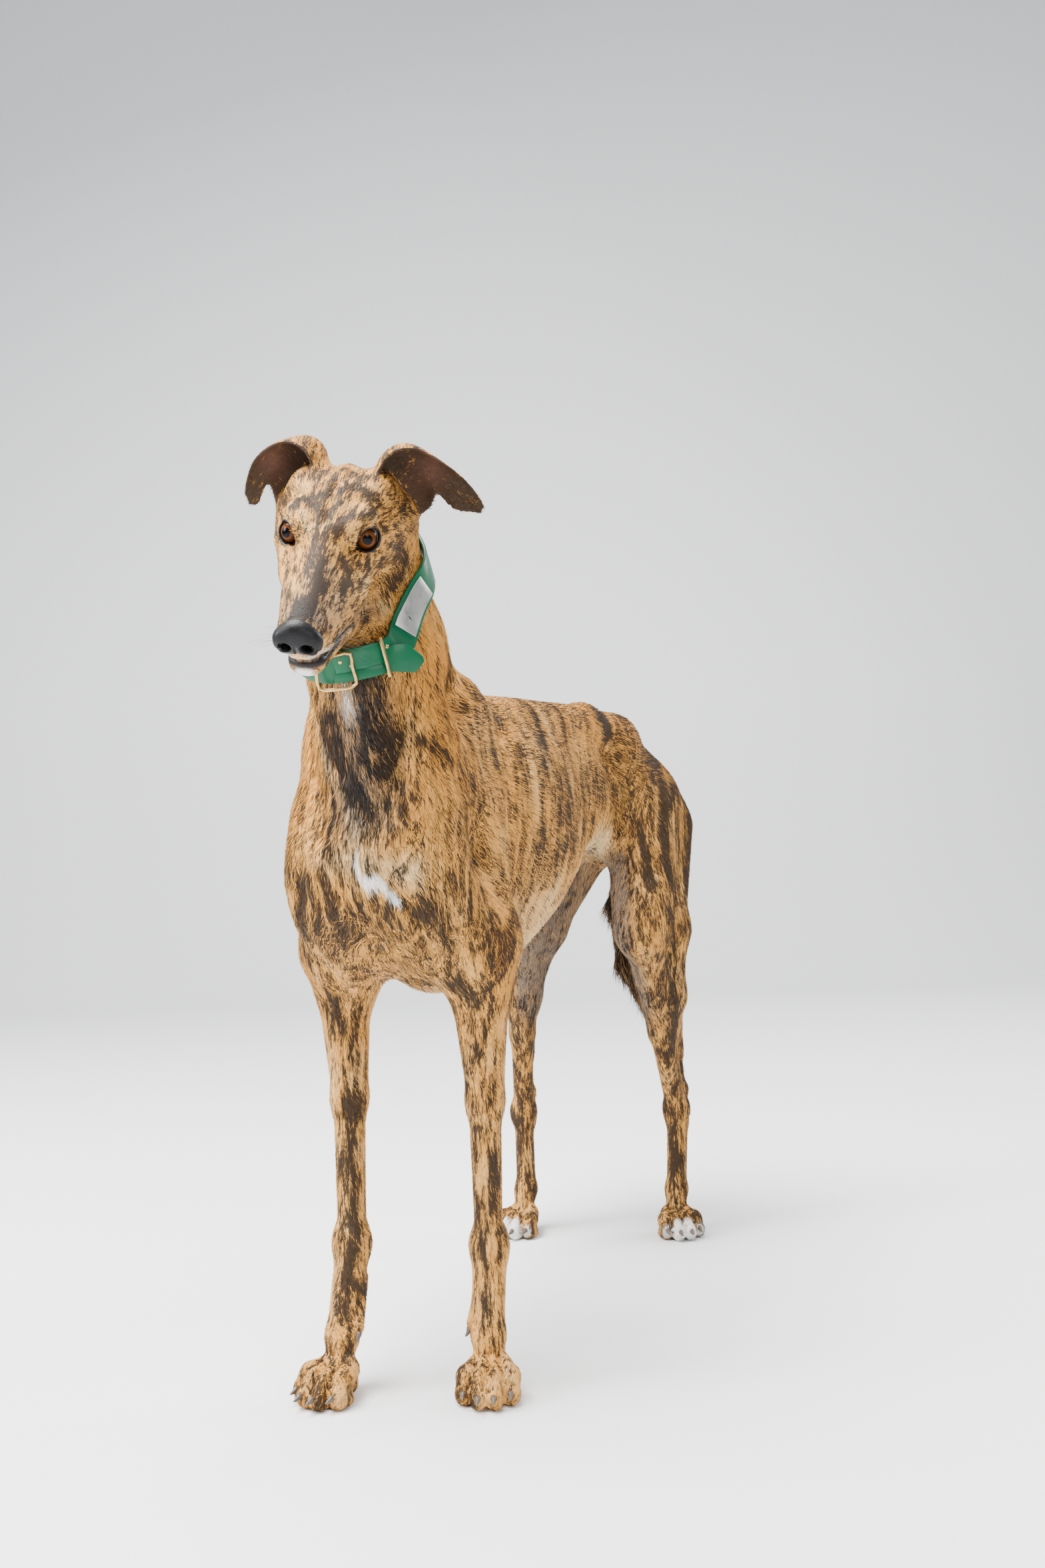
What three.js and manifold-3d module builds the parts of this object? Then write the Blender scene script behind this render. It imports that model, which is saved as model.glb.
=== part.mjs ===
// A greyhound standing still, at life size, with its collar.
// Millimetres. +X is the dog's left, +Y its tail end and +Z up.
// The body is one skin over rods and masses that stand for its bones and muscles.
// Each part is cast onto that skin from a spine inside it, and neighbours are parted by flat cuts.
import * as THREE from "three";
import { mergeVertices } from "three/addons/utils/BufferGeometryUtils.js";
import Module from "manifold-3d";

const wasm = await Module();
wasm.setup();

// Gaps and casting
const PARTING = 0.3; // gap between two parts that meet
const OVERRUN = 24; // how far a part is cast past its cut
const SHORTEST_STEP = 1.5; // stride along a ray, at the least
const LONGEST_RAY = 420;
const HALVINGS = 14;
const BLOCK = 3000; // side of a block that fills one side of a cut

// Trunk
const WITHERS = 682; // height of the back over the shoulder blades
const LOIN_RISE = 9; // arch of the loin over the withers
const CHEST_HALF_WIDTH = 90;
const BRISKET = 380; // lowest height of the breastbone
const TUCK_UP = 503; // lowest height of the belly at the flank

// Head, in its own frame: X to the nose, Y to the dog's left, Z up from the bridge
const EYE_CENTRE = [20, -135, 798]; // point between the eyes
const HEAD_TURN = 16.5; // degrees to the dog's left
const HEAD_DROP = 42.3; // degrees that the muzzle points below level
const HEAD_TILT = 9.9; // degrees that the left side hangs lower
const EYE_RADIUS = 12;
const EYE_SEAT = [-2.4, 31.2, -1.4];
const EYE_GAZE = [0.77, 0.57, 0.28];
const EYE_SLANT = [-0.64, 0.7, 0.3]; // from the inner corner of the lids to the outer one
const LID_THICKNESS = 2.3;
const LID_OPENING = [12.6, 9.6]; // half length and half height
const MOUTH_CORNER = [30, 0, -64];
const NOSE_TOP = [127, 0, -8]; // where the leather begins on the bridge
const NOSTRIL = [140, 9, -25];

// Collar: a ring tilted down to the throat
const COLLAR_CENTRE = [0, -45, 757];
const COLLAR_UP = [0, 0.6, 0.8]; // from the throat to the nape
const COLLAR_AXIS = [0, -0.8, 0.6]; // the way through the ring
const COLLAR_LIFT = 14; // of the strap at the throat
const COLLAR_RISE = 24; // of the strap on the dog's right
const COLLAR_STAND = 5; // distance from the strap to the throat at its middle
const COLLAR_TILT = 0.45; // how far the strap turns flat at the throat, out of 1
const COLLAR_SAG = 24; // of the strap at each front corner
const COLLAR_WIDTH = 30;
const COLLAR_THICKNESS = 3.2;
const COLLAR_SLACK = 1.3; // gap between the strap and the neck
const WIRE = 1.9; // radius of the brass wire

// Joints of each leg from the body down. The heading turns a paw to the dog's left, in degrees.
const FORELEGS = {
  left: {
    shoulder: [57, -48, 514],
    elbow: [70, 36, 385],
    wrist: [64, 48, 134],
    fetlock: [66, 38, 52],
    paw: [72, 26],
    heading: 22,
  },
  right: {
    shoulder: [-54, -46, 508],
    elbow: [-77, 26, 385],
    wrist: [-70, 12, 134],
    fetlock: [-66, -14, 52],
    paw: [-63, -30],
    heading: -8,
  },
};
const HINDLEGS = {
  left: {
    hip: [46, 560, 590],
    stifle: [71, 474, 408],
    hock: [58, 616, 160],
    heel: [57, 646, 182],
    fetlock: [58, 606, 54],
    paw: [62, 592],
    heading: 36,
  },
  right: {
    hip: [-50, 556, 590],
    stifle: [-92, 460, 410],
    hock: [-138, 548, 158],
    heel: [-142, 577, 180],
    fetlock: [-135, 542, 54],
    paw: [-134, 528],
    heading: -4,
  },
};

const add = (a, b) => a.map((value, i) => value + b[i]);
const less = (a, b) => a.map((value, i) => value - b[i]);
const times = (a, factor) => a.map((value) => value * factor);
const dot = (a, b) => a[0] * b[0] + a[1] * b[1] + a[2] * b[2];
const unit = (a) => times(a, 1 / Math.sqrt(dot(a, a)));
const between = (a, b, share) => a.map((value, i) => value + (b[i] - value) * share);
const radians = THREE.MathUtils.degToRad;
const clamp = THREE.MathUtils.clamp;

// A rod is a tapered bar with round ends. Its value at a point is the distance to its surface.
function rod(from, to, startRadius, endRadius = startRadius, blend = 14) {
  const [ax, ay, az] = less(to, from);
  const square = ax * ax + ay * ay + az * az;
  const distance = ([x, y, z]) => {
    const dx = x - from[0];
    const dy = y - from[1];
    const dz = z - from[2];
    const share = clamp((dx * ax + dy * ay + dz * az) / square, 0, 1);
    const ex = dx - ax * share;
    const ey = dy - ay * share;
    const ez = dz - az * share;
    return Math.sqrt(ex * ex + ey * ey + ez * ez) - startRadius - (endRadius - startRadius) * share;
  };
  return { distance, blend };
}

// A mass is an egg with its own half sizes along the three axes.
function mass(centre, [rx, ry, rz], blend = 18) {
  const distance = ([x, y, z]) => {
    const dx = (x - centre[0]) / rx;
    const dy = (y - centre[1]) / ry;
    const dz = (z - centre[2]) / rz;
    const near = Math.sqrt(dx * dx + dy * dy + dz * dz);
    const slope = Math.sqrt((dx / rx) ** 2 + (dy / ry) ** 2 + (dz / rz) ** 2);
    return slope < 1e-9 ? -Math.min(rx, ry, rz) : (near * (near - 1)) / slope;
  };
  return { distance, blend };
}

const chain = (points, radii, blend) =>
  points.slice(1).map((point, i) => rod(points[i], point, radii[i], radii[i + 1], blend));

// The function gets 1 for the dog's left and -1 for its right.
const both = (make) => [make(1), make(-1)].flat();

// Forms flow into each other over their blend, as muscles do under the skin.
function flow(a, b, blend) {
  const near = Math.max(blend - Math.abs(a - b), 0) / blend;
  return Math.min(a, b) - (near * near * blend) / 4;
}

function flesh(forms, blend = 0) {
  const [first, ...others] = forms;
  const distance = (p) =>
    others.reduce((total, form) => flow(total, form.distance(p), form.blend), first.distance(p));
  return { distance, blend };
}

// Head frame
const nose = radians(HEAD_DROP);
const turn = radians(HEAD_TURN);
const forward = new THREE.Vector3(
  Math.sin(turn) * Math.cos(nose),
  -Math.cos(turn) * Math.cos(nose),
  -Math.sin(nose),
);
const level = new THREE.Vector3(Math.cos(turn), Math.sin(turn), 0);
const crown = new THREE.Vector3().crossVectors(forward, level);
const headFrame = new THREE.Matrix4()
  .makeBasis(forward, level, crown)
  .multiply(new THREE.Matrix4().makeRotationX(radians(-HEAD_TILT)))
  .setPosition(...EYE_CENTRE);
const moved = (frame, point) => new THREE.Vector3(...point).applyMatrix4(frame).toArray();
const onHead = (point) => moved(headFrame, point);

// Forms that are given in a frame of their own
function placed(frame, forms, blend) {
  const back = frame.clone().invert().elements;
  const inner = flesh(forms);
  const distance = ([x, y, z]) =>
    inner.distance([
      back[0] * x + back[4] * y + back[8] * z + back[12],
      back[1] * x + back[5] * y + back[9] * z + back[13],
      back[2] * x + back[6] * y + back[10] * z + back[14],
    ]);
  return { distance, blend };
}

// Trunk: ribs, breastbone, loin, croup and the long back muscles
const backHeight = WITHERS - 24;
const trunk = flesh([
  mass([0, 78, 530], [CHEST_HALF_WIDTH - 16, 142, WITHERS - 537]),
  mass([0, 195, 548], [CHEST_HALF_WIDTH, 135, 130], 40),
  rod([0, -44, 480], [0, 70, BRISKET + 40], 42, 38, 30),
  rod([0, 70, BRISKET + 40], [0, 190, BRISKET + 64], 38, 44, 30),
  rod([0, 190, BRISKET + 64], [0, 310, 506], 44, 48, 30),
  mass([0, -56, 522], [34, 34, 42], 24),
  mass([0, 330, 608], [62, 150, 74], 40),
  rod([0, 215, 505], [0, 380, TUCK_UP + 62], 68, 52, 40),
  rod([0, 380, TUCK_UP + 62], [0, 500, TUCK_UP + 50], 52, 46, 30),
  mass([0, 540, 608], [64, 96, 68], 40),
  rod([0, 500, 560], [0, 600, 572], 44, 46, 30),
  rod([0, 590, 624], [0, 636, 600], 24, 17, 26),
  ...both((side) => [
    rod([24 * side, 130, backHeight - 4], [27 * side, 400, backHeight + LOIN_RISE - 2], 24, 26, 24),
    rod([27 * side, 400, backHeight + LOIN_RISE - 2], [30 * side, 505, backHeight + 4], 26, 26, 20),
    mass([40 * side, 488, 653], [18, 30, 23], 24),
    rod([38 * side, 500, 628], [46 * side, 574, 584], 30, 30, 30),
    rod([43 * side, 556, 580], [42 * side, 622, 560], 32, 20, 30),
    rod([26 * side, 85, 652], [54 * side, -30, 545], 26, 29, 28),
    mass([51 * side, -46, 474], [32, 34, 46], 24),
    rod([52 * side, 50, 552], [74 * side, 40, 428], 34, 33, 30),
    rod([28 * side, -52, 503], [34 * side, -14, 438], 38, 31, 30),
  ]),
]);

// Neck: windpipe in front, nape behind and a strap of muscle on each side
const neck = flesh(
  [
    ...chain(
      [
        [2, -60, 812],
        [2, -58, 760],
        [0, -58, 690],
        [0, -42, 600],
      ],
      [42, 43, 46, 48],
      20,
    ),
    ...chain(
      [
        [0, -32, 836],
        [-3, -12, 780],
        [0, 14, 728],
        [0, 64, 668],
      ],
      [35, 36, 40, 39],
      30,
    ),
    ...both((side) =>
      chain(
        [
          [33 * side, -48, 820],
          [31 * side, -34, 770],
          [37 * side, -26, 700],
          [45 * side, -28, 620],
          [52 * side, -42, 530],
        ],
        [21, 19, 27, 30, 29],
        24,
      ),
    ),
  ],
  46,
);

// Head: brain case, forehead, bridge, temples, cheekbones, cheeks, brows, lips and lower jaw
const headForms = placed(
  headFrame,
  [
    mass([-58, 0, -4], [48, 46, 35]),
    mass([-16, 0, -1], [40, 33, 24], 20),
    rod([-4, 0, 0], [124, 0, -23], 20, 14.5, 16),
    mass([-98, 0, -4], [16, 22, 18], 16),
    ...both((side) => [
      mass([-62, 31 * side, 4], [36, 22, 25], 14),
      rod([-70, 49 * side, -14], [-14, 40 * side, -16], 17, 11, 14),
      rod([-14, 40 * side, -16], [30, 26 * side, -26], 11, 11, 12),
      mass([-46, 36 * side, -44], [34, 20, 34], 16),
      rod([-16, 30 * side, 13], [8, 21 * side, 11], 10, 9, 10),
      rod([0, 20 * side, -20], [110, 9 * side, -30], 21, 13.5, 14),
      rod([24, 26 * side, -44], [100, 12 * side, -42], 12, 11, 9),
      rod([100, 12 * side, -42], [118, 5 * side, -40], 11, 10.5, 6),
      rod([24, 20 * side, -68], [92, 8 * side, -65], 13, 9.5, 10),
      mass([EYE_SEAT[0], EYE_SEAT[1] * side, EYE_SEAT[2]], [14, 14, 14], 8),
    ]),
    rod([-46, 0, -62], [30, 0, -66], 29, 21, 18),
    rod([30, 0, -66], [100, 0, -63], 21, 12, 12),
    mass([106, 0, -63], [14, 16, 12], 8),
  ],
  20,
);

// Nose leather: a rounded pad with a wing round each nostril
const noseForms = placed(
  headFrame,
  [
    mass([127, 0, -23], [14, 17, 16]),
    ...both((side) => mass([130, 11.5 * side, -26], [10, 9.5, 11], 5)),
  ],
  0,
);

// A paw in its own frame: X ahead, Y to the dog's left and the ground at Z 0
const TOES = [
  { across: -22, ahead: 24, knuckle: 14 },
  { across: -7.5, ahead: 35, knuckle: 21 },
  { across: 7.5, ahead: 35, knuckle: 21 },
  { across: 22, ahead: 24, knuckle: 14 },
];
const PAD_SINK = 1.2; // depth of each flat that a pad rests on
const HIND_PAW_SIZE = 0.94; // of a front one
const CLAW_ROOT = 3;
const CLAW_LENGTH = 10;
const CLAW_SLOPE = [0.86, 0, -0.5];

function pawFrame({ paw, heading }) {
  const [x, y] = paw;
  return new THREE.Matrix4().makeRotationZ(radians(heading - 90)).setPosition(x, y, 0);
}

const toeForms = ({ across, ahead, knuckle }, size) => [
  rod([-4, across * 0.5, 26], [knuckle, across * 0.88, 23], 11 * size, 10.6 * size, 8),
  rod([knuckle, across * 0.88, 23], [ahead, across, 13], 10.6 * size, 9.2 * size, 5),
  rod([knuckle, across, 9 - PAD_SINK], [ahead, across, 8.4 - PAD_SINK], 9 * size, 8.4 * size, 4),
];

const pawCore = (size, fetlock) => [
  rod(fetlock, [-2, 0, 27], 14, 13),
  mass([-6, 0, 12 - PAD_SINK], [15 * size, 18 * size, 12], 8),
];

const pawForms = (size, fetlock) => [
  ...pawCore(size, fetlock),
  ...TOES.flatMap((toe) => toeForms(toe, size)),
];

// Forelegs: upper arm, forearm, wrist with its pad, dewclaw and paw
function foreleg(side, leg) {
  const { shoulder, elbow, wrist, fetlock } = leg;
  const frame = pawFrame(leg);
  const fetlockInPaw = moved(frame.clone().invert(), fetlock);
  const low = between(elbow, wrist, 0.45);
  const arm = between(shoulder, elbow, 0.72);
  const dewclaw = [add(wrist, [-11 * side, 2, -34]), add(fetlock, [-19 * side, 0, 8])];
  const upper = flesh([
    rod(between(shoulder, elbow, 0.15), arm, 32, 38, 20),
    rod(arm, elbow, 38, 30, 20),
    rod(add(elbow, [side * 2, 14, 40]), add(elbow, [side * 3, 17, 2]), 24, 14, 18),
    rod(add(elbow, [0, -6, -6]), low, 28, 18, 18),
    rod(add(elbow, [side * 3, 8, -20]), add(low, [0, 8, 0]), 18, 12, 14),
    rod(low, wrist, 17.5, 15, 14),
    rod(add(low, [0, 6, -20]), add(wrist, [0, 10, 8]), 10, 8, 10),
    mass(add(wrist, [0, -1, 0]), [19, 17, 21], 12),
    mass(add(wrist, [4 * side, 16, -12]), [8, 8, 10], 8),
    rod(wrist, fetlock, 15, 13, 12),
    rod(add(wrist, [6 * side, 2, -4]), add(fetlock, [5 * side, -2, 0]), 11, 10, 8),
    rod(add(wrist, [-7 * side, 2, -4]), add(fetlock, [-6 * side, -2, 0]), 11, 10, 8),
    rod(...dewclaw, 6, 5, 5),
  ]);
  const paw = placed(frame, pawForms(1, fetlockInPaw), 12);
  return { skin: flesh([upper, paw], 30), frame, dewclaw, size: 1, fetlockInPaw };
}

// Hind legs: thigh, shank with its calf and heel cord, hock and paw
function hindleg(side, leg) {
  const { hip, stifle, hock, heel, fetlock } = leg;
  const frame = pawFrame(leg);
  const fetlockInPaw = moved(frame.clone().invert(), fetlock);
  const calf = add(between(stifle, heel, 0.4), [8 * side, 13, 2]);
  const upper = flesh([
    rod(add(hip, [0, 0, -14]), stifle, 42, 33, 20),
    rod(add(hip, [8 * side, 42, -50]), add(stifle, [4 * side, 80, 4]), 46, 28, 34),
    rod(add(hip, [8 * side, -30, -30]), add(stifle, [2 * side, 4, 20]), 42, 30, 30),
    rod(add(hip, [-14 * side, 10, -60]), add(stifle, [-12 * side, 60, 10]), 38, 24, 30),
    mass(add(stifle, [0, -10, 2]), [22, 22, 28], 16),
    rod(add(stifle, [0, 6, -4]), between(stifle, hock, 0.55), 28, 16, 20),
    rod(add(stifle, [6 * side, 75, -6]), calf, 29, 23, 28),
    rod(calf, between(calf, heel, 0.6), 23, 9, 18),
    rod(between(between(stifle, hock, 0.45), calf, 0.6), between(hock, heel, 0.5), 14, 9, 16),
    rod(between(stifle, hock, 0.55), hock, 16, 14, 14),
    rod(between(calf, heel, 0.5), heel, 8, 8, 12),
    mass(hock, [17, 19, 22], 12),
    rod(heel, add(hock, [0, 10, -14]), 9, 11, 10),
    rod(hock, fetlock, 14, 12.5, 12),
    rod(add(hock, [3 * side, 8, -20]), add(fetlock, [0, 4, 6]), 11, 10, 8),
  ]);
  const paw = placed(frame, pawForms(HIND_PAW_SIZE, fetlockInPaw), 12);
  return { skin: flesh([upper, paw], 34), frame, size: HIND_PAW_SIZE, fetlockInPaw };
}

const SIDES = { left: 1, right: -1 };
const perSide = (make) =>
  Object.fromEntries(Object.entries(SIDES).map(([name, side]) => [name, make(name, side)]));
const fore = perSide((name, side) => foreleg(side, FORELEGS[name]));
const hind = perSide((name, side) => hindleg(side, HINDLEGS[name]));

// Tail: hangs between the legs, swings a little to the right and back behind the left shank
const TAIL_ROUTE = [
  [0, 622, 610],
  [-5, 660, 580],
  [-22, 676, 510],
  [-34, 662, 430],
  [-22, 654, 350],
  [14, 664, 270],
  [38, 682, 205],
];
const TAIL_RADII = [19, 17, 15, 14.5, 13, 9, 4.5];
const tail = flesh(chain(TAIL_ROUTE, TAIL_RADII, 16), 14);

// A cut is a plane. A part keeps the side that its normal points to.
const cut = (point, normal) => ({ point, normal: unit(normal) });
const flipped = ({ point, normal }) => ({ point, normal: times(normal, -1) });
const height = (plane, p) => dot(plane.normal, less(p, plane.point));

const headward = (direction) => less(onHead(direction), onHead([0, 0, 0]));
const neckBase = cut([0, -6, 668], [0, -0.53, 0.85]);
const headCuts = [
  cut(onHead([-84, 0, -36]), headward([0.9, -0.2, 0.36])),
  cut(onHead([-72, 0, -101]), headward([-0.06, -0.4, 1])),
];
const noseCut = cut(onHead(NOSE_TOP), headward([0.98, 0, 0.19]));
const jawBack = cut(onHead(MOUTH_CORNER), headward([0.84, 0, -0.54]));
const upperLip = cut(onHead(MOUTH_CORNER), headward([0.142, 0, -0.99]));
const lowerLip = cut(onHead(MOUTH_CORNER), headward([0.1, 0, -0.995]));
const loinFront = cut([0, 236, 560], [0, 1, 0.1]);
const loinBack = cut([0, 374, 560], [0, 1, 0]);
const legCuts = perSide((name, side) => {
  const front = FORELEGS[name];
  const back = HINDLEGS[name];
  return {
    arm: [
      cut([44 * side, 0, 388], [0.8 * side, 0, -0.6]),
      cut([80 * side, 86, 430], [0.3 * side, -0.95, 0]),
    ],
    elbow: cut(add(front.elbow, [0, 0, -36]), [0, 0.12, -1]),
    wrist: cut(add(front.wrist, [0, 0, 24]), [0, 0, -1]),
    forePaw: cut(front.fetlock, [0, -0.35, -1]),
    thigh: [cut([10 * side, 530, 484], [0.86 * side, 0.18, -0.48]), cut([2 * side, 0, 0], [side, 0, 0])],
    stifle: cut(add(back.stifle, [0, 20, -46]), [0, 0.36, -0.93]),
    hock: cut(add(back.hock, [0, 8, 44]), [0, 0.3, -0.95]),
    hindPaw: cut(back.fetlock, [0, -0.3, -1]),
  };
});
const ground = cut([0, 0, 0], [0, 0, 1]);

// A closed geometry as a solid, and a solid as a geometry
function bare(geometry) {
  const plain = geometry.clone();
  plain.deleteAttribute("normal");
  plain.deleteAttribute("uv");
  return mergeVertices(plain, 1e-4);
}

function solidOf(geometry) {
  const merged = bare(geometry);
  const corners = [];
  const index = merged.index.array;
  for (let i = 0; i < index.length; i += 3) {
    const [a, b, c] = index.slice(i, i + 3);
    if (a !== b && b !== c && c !== a) corners.push(a, b, c);
  }
  return new wasm.Manifold(
    new wasm.Mesh({
      numProp: 3,
      vertProperties: new Float32Array(merged.attributes.position.array),
      triVerts: new Uint32Array(corners),
    }),
  );
}

function geometryOf(solid) {
  const mesh = solid.getMesh();
  return new THREE.BufferGeometry()
    .setAttribute("position", new THREE.BufferAttribute(mesh.vertProperties, 3))
    .setIndex(new THREE.BufferAttribute(mesh.triVerts, 1));
}

const largest = (solid) => solid.decompose().sort((a, b) => b.volume() - a.volume())[0];
const joined = (solids) => solids.reduce((all, solid) => all.add(solid));

// Moves every point of a geometry to where a rule puts it
function reshaped(geometry, rule) {
  const shape = bare(geometry);
  const places = shape.attributes.position;
  for (let i = 0; i < places.count; i += 1) {
    places.setXYZ(i, ...rule([places.getX(i), places.getY(i), places.getZ(i)], i));
  }
  return shape;
}

// The frame whose X axis points along a direction
function facing(point, direction, sideways) {
  const x = new THREE.Vector3(...direction).normalize();
  const z = new THREE.Vector3().crossVectors(x, new THREE.Vector3(...sideways)).normalize();
  const y = new THREE.Vector3().crossVectors(z, x);
  return new THREE.Matrix4().makeBasis(x, y, z).setPosition(...point);
}

// The block that fills the kept side of a cut, set back by some distance
function blockOf({ point, normal }, setBack) {
  const block = new THREE.BoxGeometry(BLOCK, BLOCK, BLOCK);
  const direction = new THREE.Vector3(...normal);
  block.applyQuaternion(new THREE.Quaternion().setFromUnitVectors(new THREE.Vector3(0, 0, 1), direction));
  block.translate(...add(point, times(normal, BLOCK / 2 + setBack)));
  return solidOf(block);
}

// Keeps what lies inside all the cuts, and sheds what lies inside all the cuts of a neighbour
function trimmed(solid, keeps, sheds, setBack = PARTING / 2) {
  const kept = keeps.reduce((rest, plane) => rest.intersect(blockOf(plane, setBack)), solid);
  return sheds.reduce((rest, planes) => {
    const blocks = planes.map((plane) => blockOf(plane, -setBack));
    return rest.subtract(blocks.reduce((all, block) => all.intersect(block)));
  }, kept);
}

// How far a ray runs from inside a form to where its value turns positive
function reach(outside, origin, direction) {
  let inner = 0;
  let outer = 0;
  while (outer < LONGEST_RAY) {
    const value = outside(add(origin, times(direction, outer)));
    if (value > 0) break;
    inner = outer;
    outer += Math.max(SHORTEST_STEP, -value * 0.6);
  }
  for (let i = 0; i < HALVINGS; i += 1) {
    const middle = (inner + outer) / 2;
    if (outside(add(origin, times(direction, middle))) > 0) outer = middle;
    else inner = middle;
  }
  return Math.max(inner, 0.4);
}

// Casts the points of a capsule from a spine onto the skin, so that one closed body wraps the spine.
// A body with growth stands proud of its skin and its cuts by that much.
function cast({ spine, aside, skin, sides, rings, caps, keeps = [], sheds = [], growth = 0 }) {
  const outside = (p) => {
    let value = skin.distance(p) - growth;
    keeps.forEach((plane) => {
      value = Math.max(value, -height(plane, p) - OVERRUN);
    });
    sheds.forEach((planes) => {
      value = Math.max(value, Math.min(...planes.map((plane) => height(plane, p))) - OVERRUN);
    });
    return value;
  };
  const curve = new THREE.CatmullRomCurve3(
    spine.map((point) => new THREE.Vector3(...point)),
    false,
    "centripetal",
  );
  const sideways = new THREE.Vector3(...aside);
  const onto = ([x, y, z]) => {
    const along = clamp(y, -0.5, 0.5);
    const origin = curve.getPointAt(along + 0.5).toArray();
    const tangent = curve.getTangentAt(along + 0.5);
    const depth = new THREE.Vector3().crossVectors(sideways, tangent).normalize();
    const across = new THREE.Vector3().crossVectors(tangent, depth);
    const direction = across
      .multiplyScalar(x)
      .addScaledVector(tangent, y - along)
      .addScaledVector(depth, z)
      .normalize()
      .toArray();
    return add(origin, times(direction, reach(outside, origin, direction)));
  };
  const capsule = new THREE.CapsuleGeometry(1, 1, caps, sides, rings);
  return trimmed(solidOf(reshaped(capsule, onto)), keeps, sheds, PARTING / 2 - growth);
}

const coat = (colour) => new THREE.MeshStandardMaterial({ color: colour, roughness: 0.75 });
const FAWN = coat(0xb98b55);
const BRINDLE = coat(0x7d6247);
const PALE = coat(0xb9ab97);
const NOSE_LEATHER = new THREE.MeshStandardMaterial({ color: 0x1c1a1b, roughness: 0.35 });
const EYE = new THREE.MeshStandardMaterial({ color: 0x5a2c0c, roughness: 0.08 });
const CLAW = new THREE.MeshStandardMaterial({ color: 0x6b5a4c, roughness: 0.4 });
const LEATHER = new THREE.MeshStandardMaterial({ color: 0x0b6a52, roughness: 0.3 });
const BRASS = new THREE.MeshStandardMaterial({ color: 0xb5945a, roughness: 0.3, metalness: 1 });
const SILVER = new THREE.MeshStandardMaterial({ color: 0xb9bcc0, roughness: 0.3, metalness: 1 });

const dog = new THREE.Group();
const place = (name, solid, material) => {
  const mesh = new THREE.Mesh(geometryOf(largest(solid)), material);
  mesh.name = name;
  dog.add(mesh);
};

const LEFTWARD = [1, 0, 0];

// Trunk in three parts
const armSheds = [legCuts.left.arm, legCuts.right.arm];
const thighSheds = [legCuts.left.thigh, legCuts.right.thigh];
const chest = {
  spine: [
    [0, -12, 548],
    [0, 60, 540],
    [0, 140, 542],
    [0, 222, 560],
  ],
  aside: LEFTWARD,
  skin: flesh([trunk, neck, fore.left.skin, fore.right.skin]),
  sides: 28,
  rings: 8,
  caps: 6,
  keeps: [flipped(neckBase), flipped(loinFront)],
  sheds: armSheds,
};
const loin = {
  spine: [
    [0, 240, 575],
    [0, 370, 605],
  ],
  aside: LEFTWARD,
  skin: flesh([trunk, hind.left.skin, hind.right.skin]),
  sides: 24,
  rings: 7,
  caps: 3,
  keeps: [loinFront, flipped(loinBack)],
};
const croup = {
  spine: [
    [0, 385, 605],
    [0, 500, 606],
    [0, 600, 592],
  ],
  aside: LEFTWARD,
  skin: flesh([trunk, hind.left.skin, hind.right.skin]),
  sides: 26,
  rings: 8,
  caps: 5,
  keeps: [loinBack],
  sheds: thighSheds,
};
place("chest", cast(chest), FAWN);
place("loin", cast(loin), FAWN);
place("croup", cast(croup), FAWN);

const tailBody = cast({
  spine: TAIL_ROUTE,
  aside: LEFTWARD,
  skin: tail,
  sides: 10,
  rings: 17,
  caps: 2,
});
place("tail", tailBody.subtract(cast({ ...croup, growth: PARTING })), FAWN);

// A claw grows from a small flat on its toe. It narrows and bends down to its tip.
function claw(frame, growth = 0) {
  const horn = new THREE.CylinderGeometry(0.7 + growth, CLAW_ROOT + growth, CLAW_LENGTH + 2 * growth, 6, 2);
  const bend = ([x, y, z]) => {
    const along = y + CLAW_LENGTH / 2;
    return moved(frame, [PARTING + along, -x, z * 1.2 - (along * along) / 40]);
  };
  return solidOf(reshaped(horn, bend));
}

function toeWithClaw(toe, { frame, size }) {
  const at = (point) => moved(frame, point);
  const along = (direction) => less(at(direction), at([0, 0, 0]));
  const tip = at([toe.ahead + 6.8 * size, toe.across, 14.5]);
  const bed = facing(tip, along(CLAW_SLOPE), along([0, -1, 0]));
  const body = cast({
    spine: [
      at([2, toe.across * 0.6, 24]),
      at([toe.knuckle, toe.across * 0.9, 20]),
      at([toe.ahead, toe.across, 12]),
    ],
    aside: along([0, 1, 0]),
    skin: placed(frame, toeForms(toe, size), 0),
    sides: 6,
    rings: 3,
    caps: 2,
  });
  const bedCut = cut(moved(bed, [0, 0, 0]), less(moved(bed, [-1, 0, 0]), moved(bed, [0, 0, 0])));
  return { body: body.intersect(blockOf(bedCut, 0)), horn: claw(bed), room: claw(bed, PARTING) };
}

function paw(prefix, name, leg, joint, legCut) {
  const { frame, size, fetlockInPaw } = leg;
  const at = (point) => moved(frame, point);
  const core = cast({
    spine: [joint, at([-2, 0, 27]), at([-5, 0, 13])],
    aside: less(at([0, 1, 0]), at([0, 0, 0])),
    skin: placed(frame, pawCore(size, fetlockInPaw), 0),
    sides: 12,
    rings: 3,
    caps: 2,
  });
  const toes = TOES.map((toe) => toeWithClaw(toe, leg));
  const whole = joined([core, ...toes.map(({ body }) => body)]);
  const horns = joined(toes.map(({ room }) => room));
  const standing = trimmed(whole, [legCut], []).intersect(blockOf(ground, 0)).subtract(horns);
  place(`${prefix}_paw_${name}`, standing, FAWN);
  toes.forEach(({ horn }, i) => place(`${prefix}_claw_${name}_${i + 1}`, horn, CLAW));
}

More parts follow.
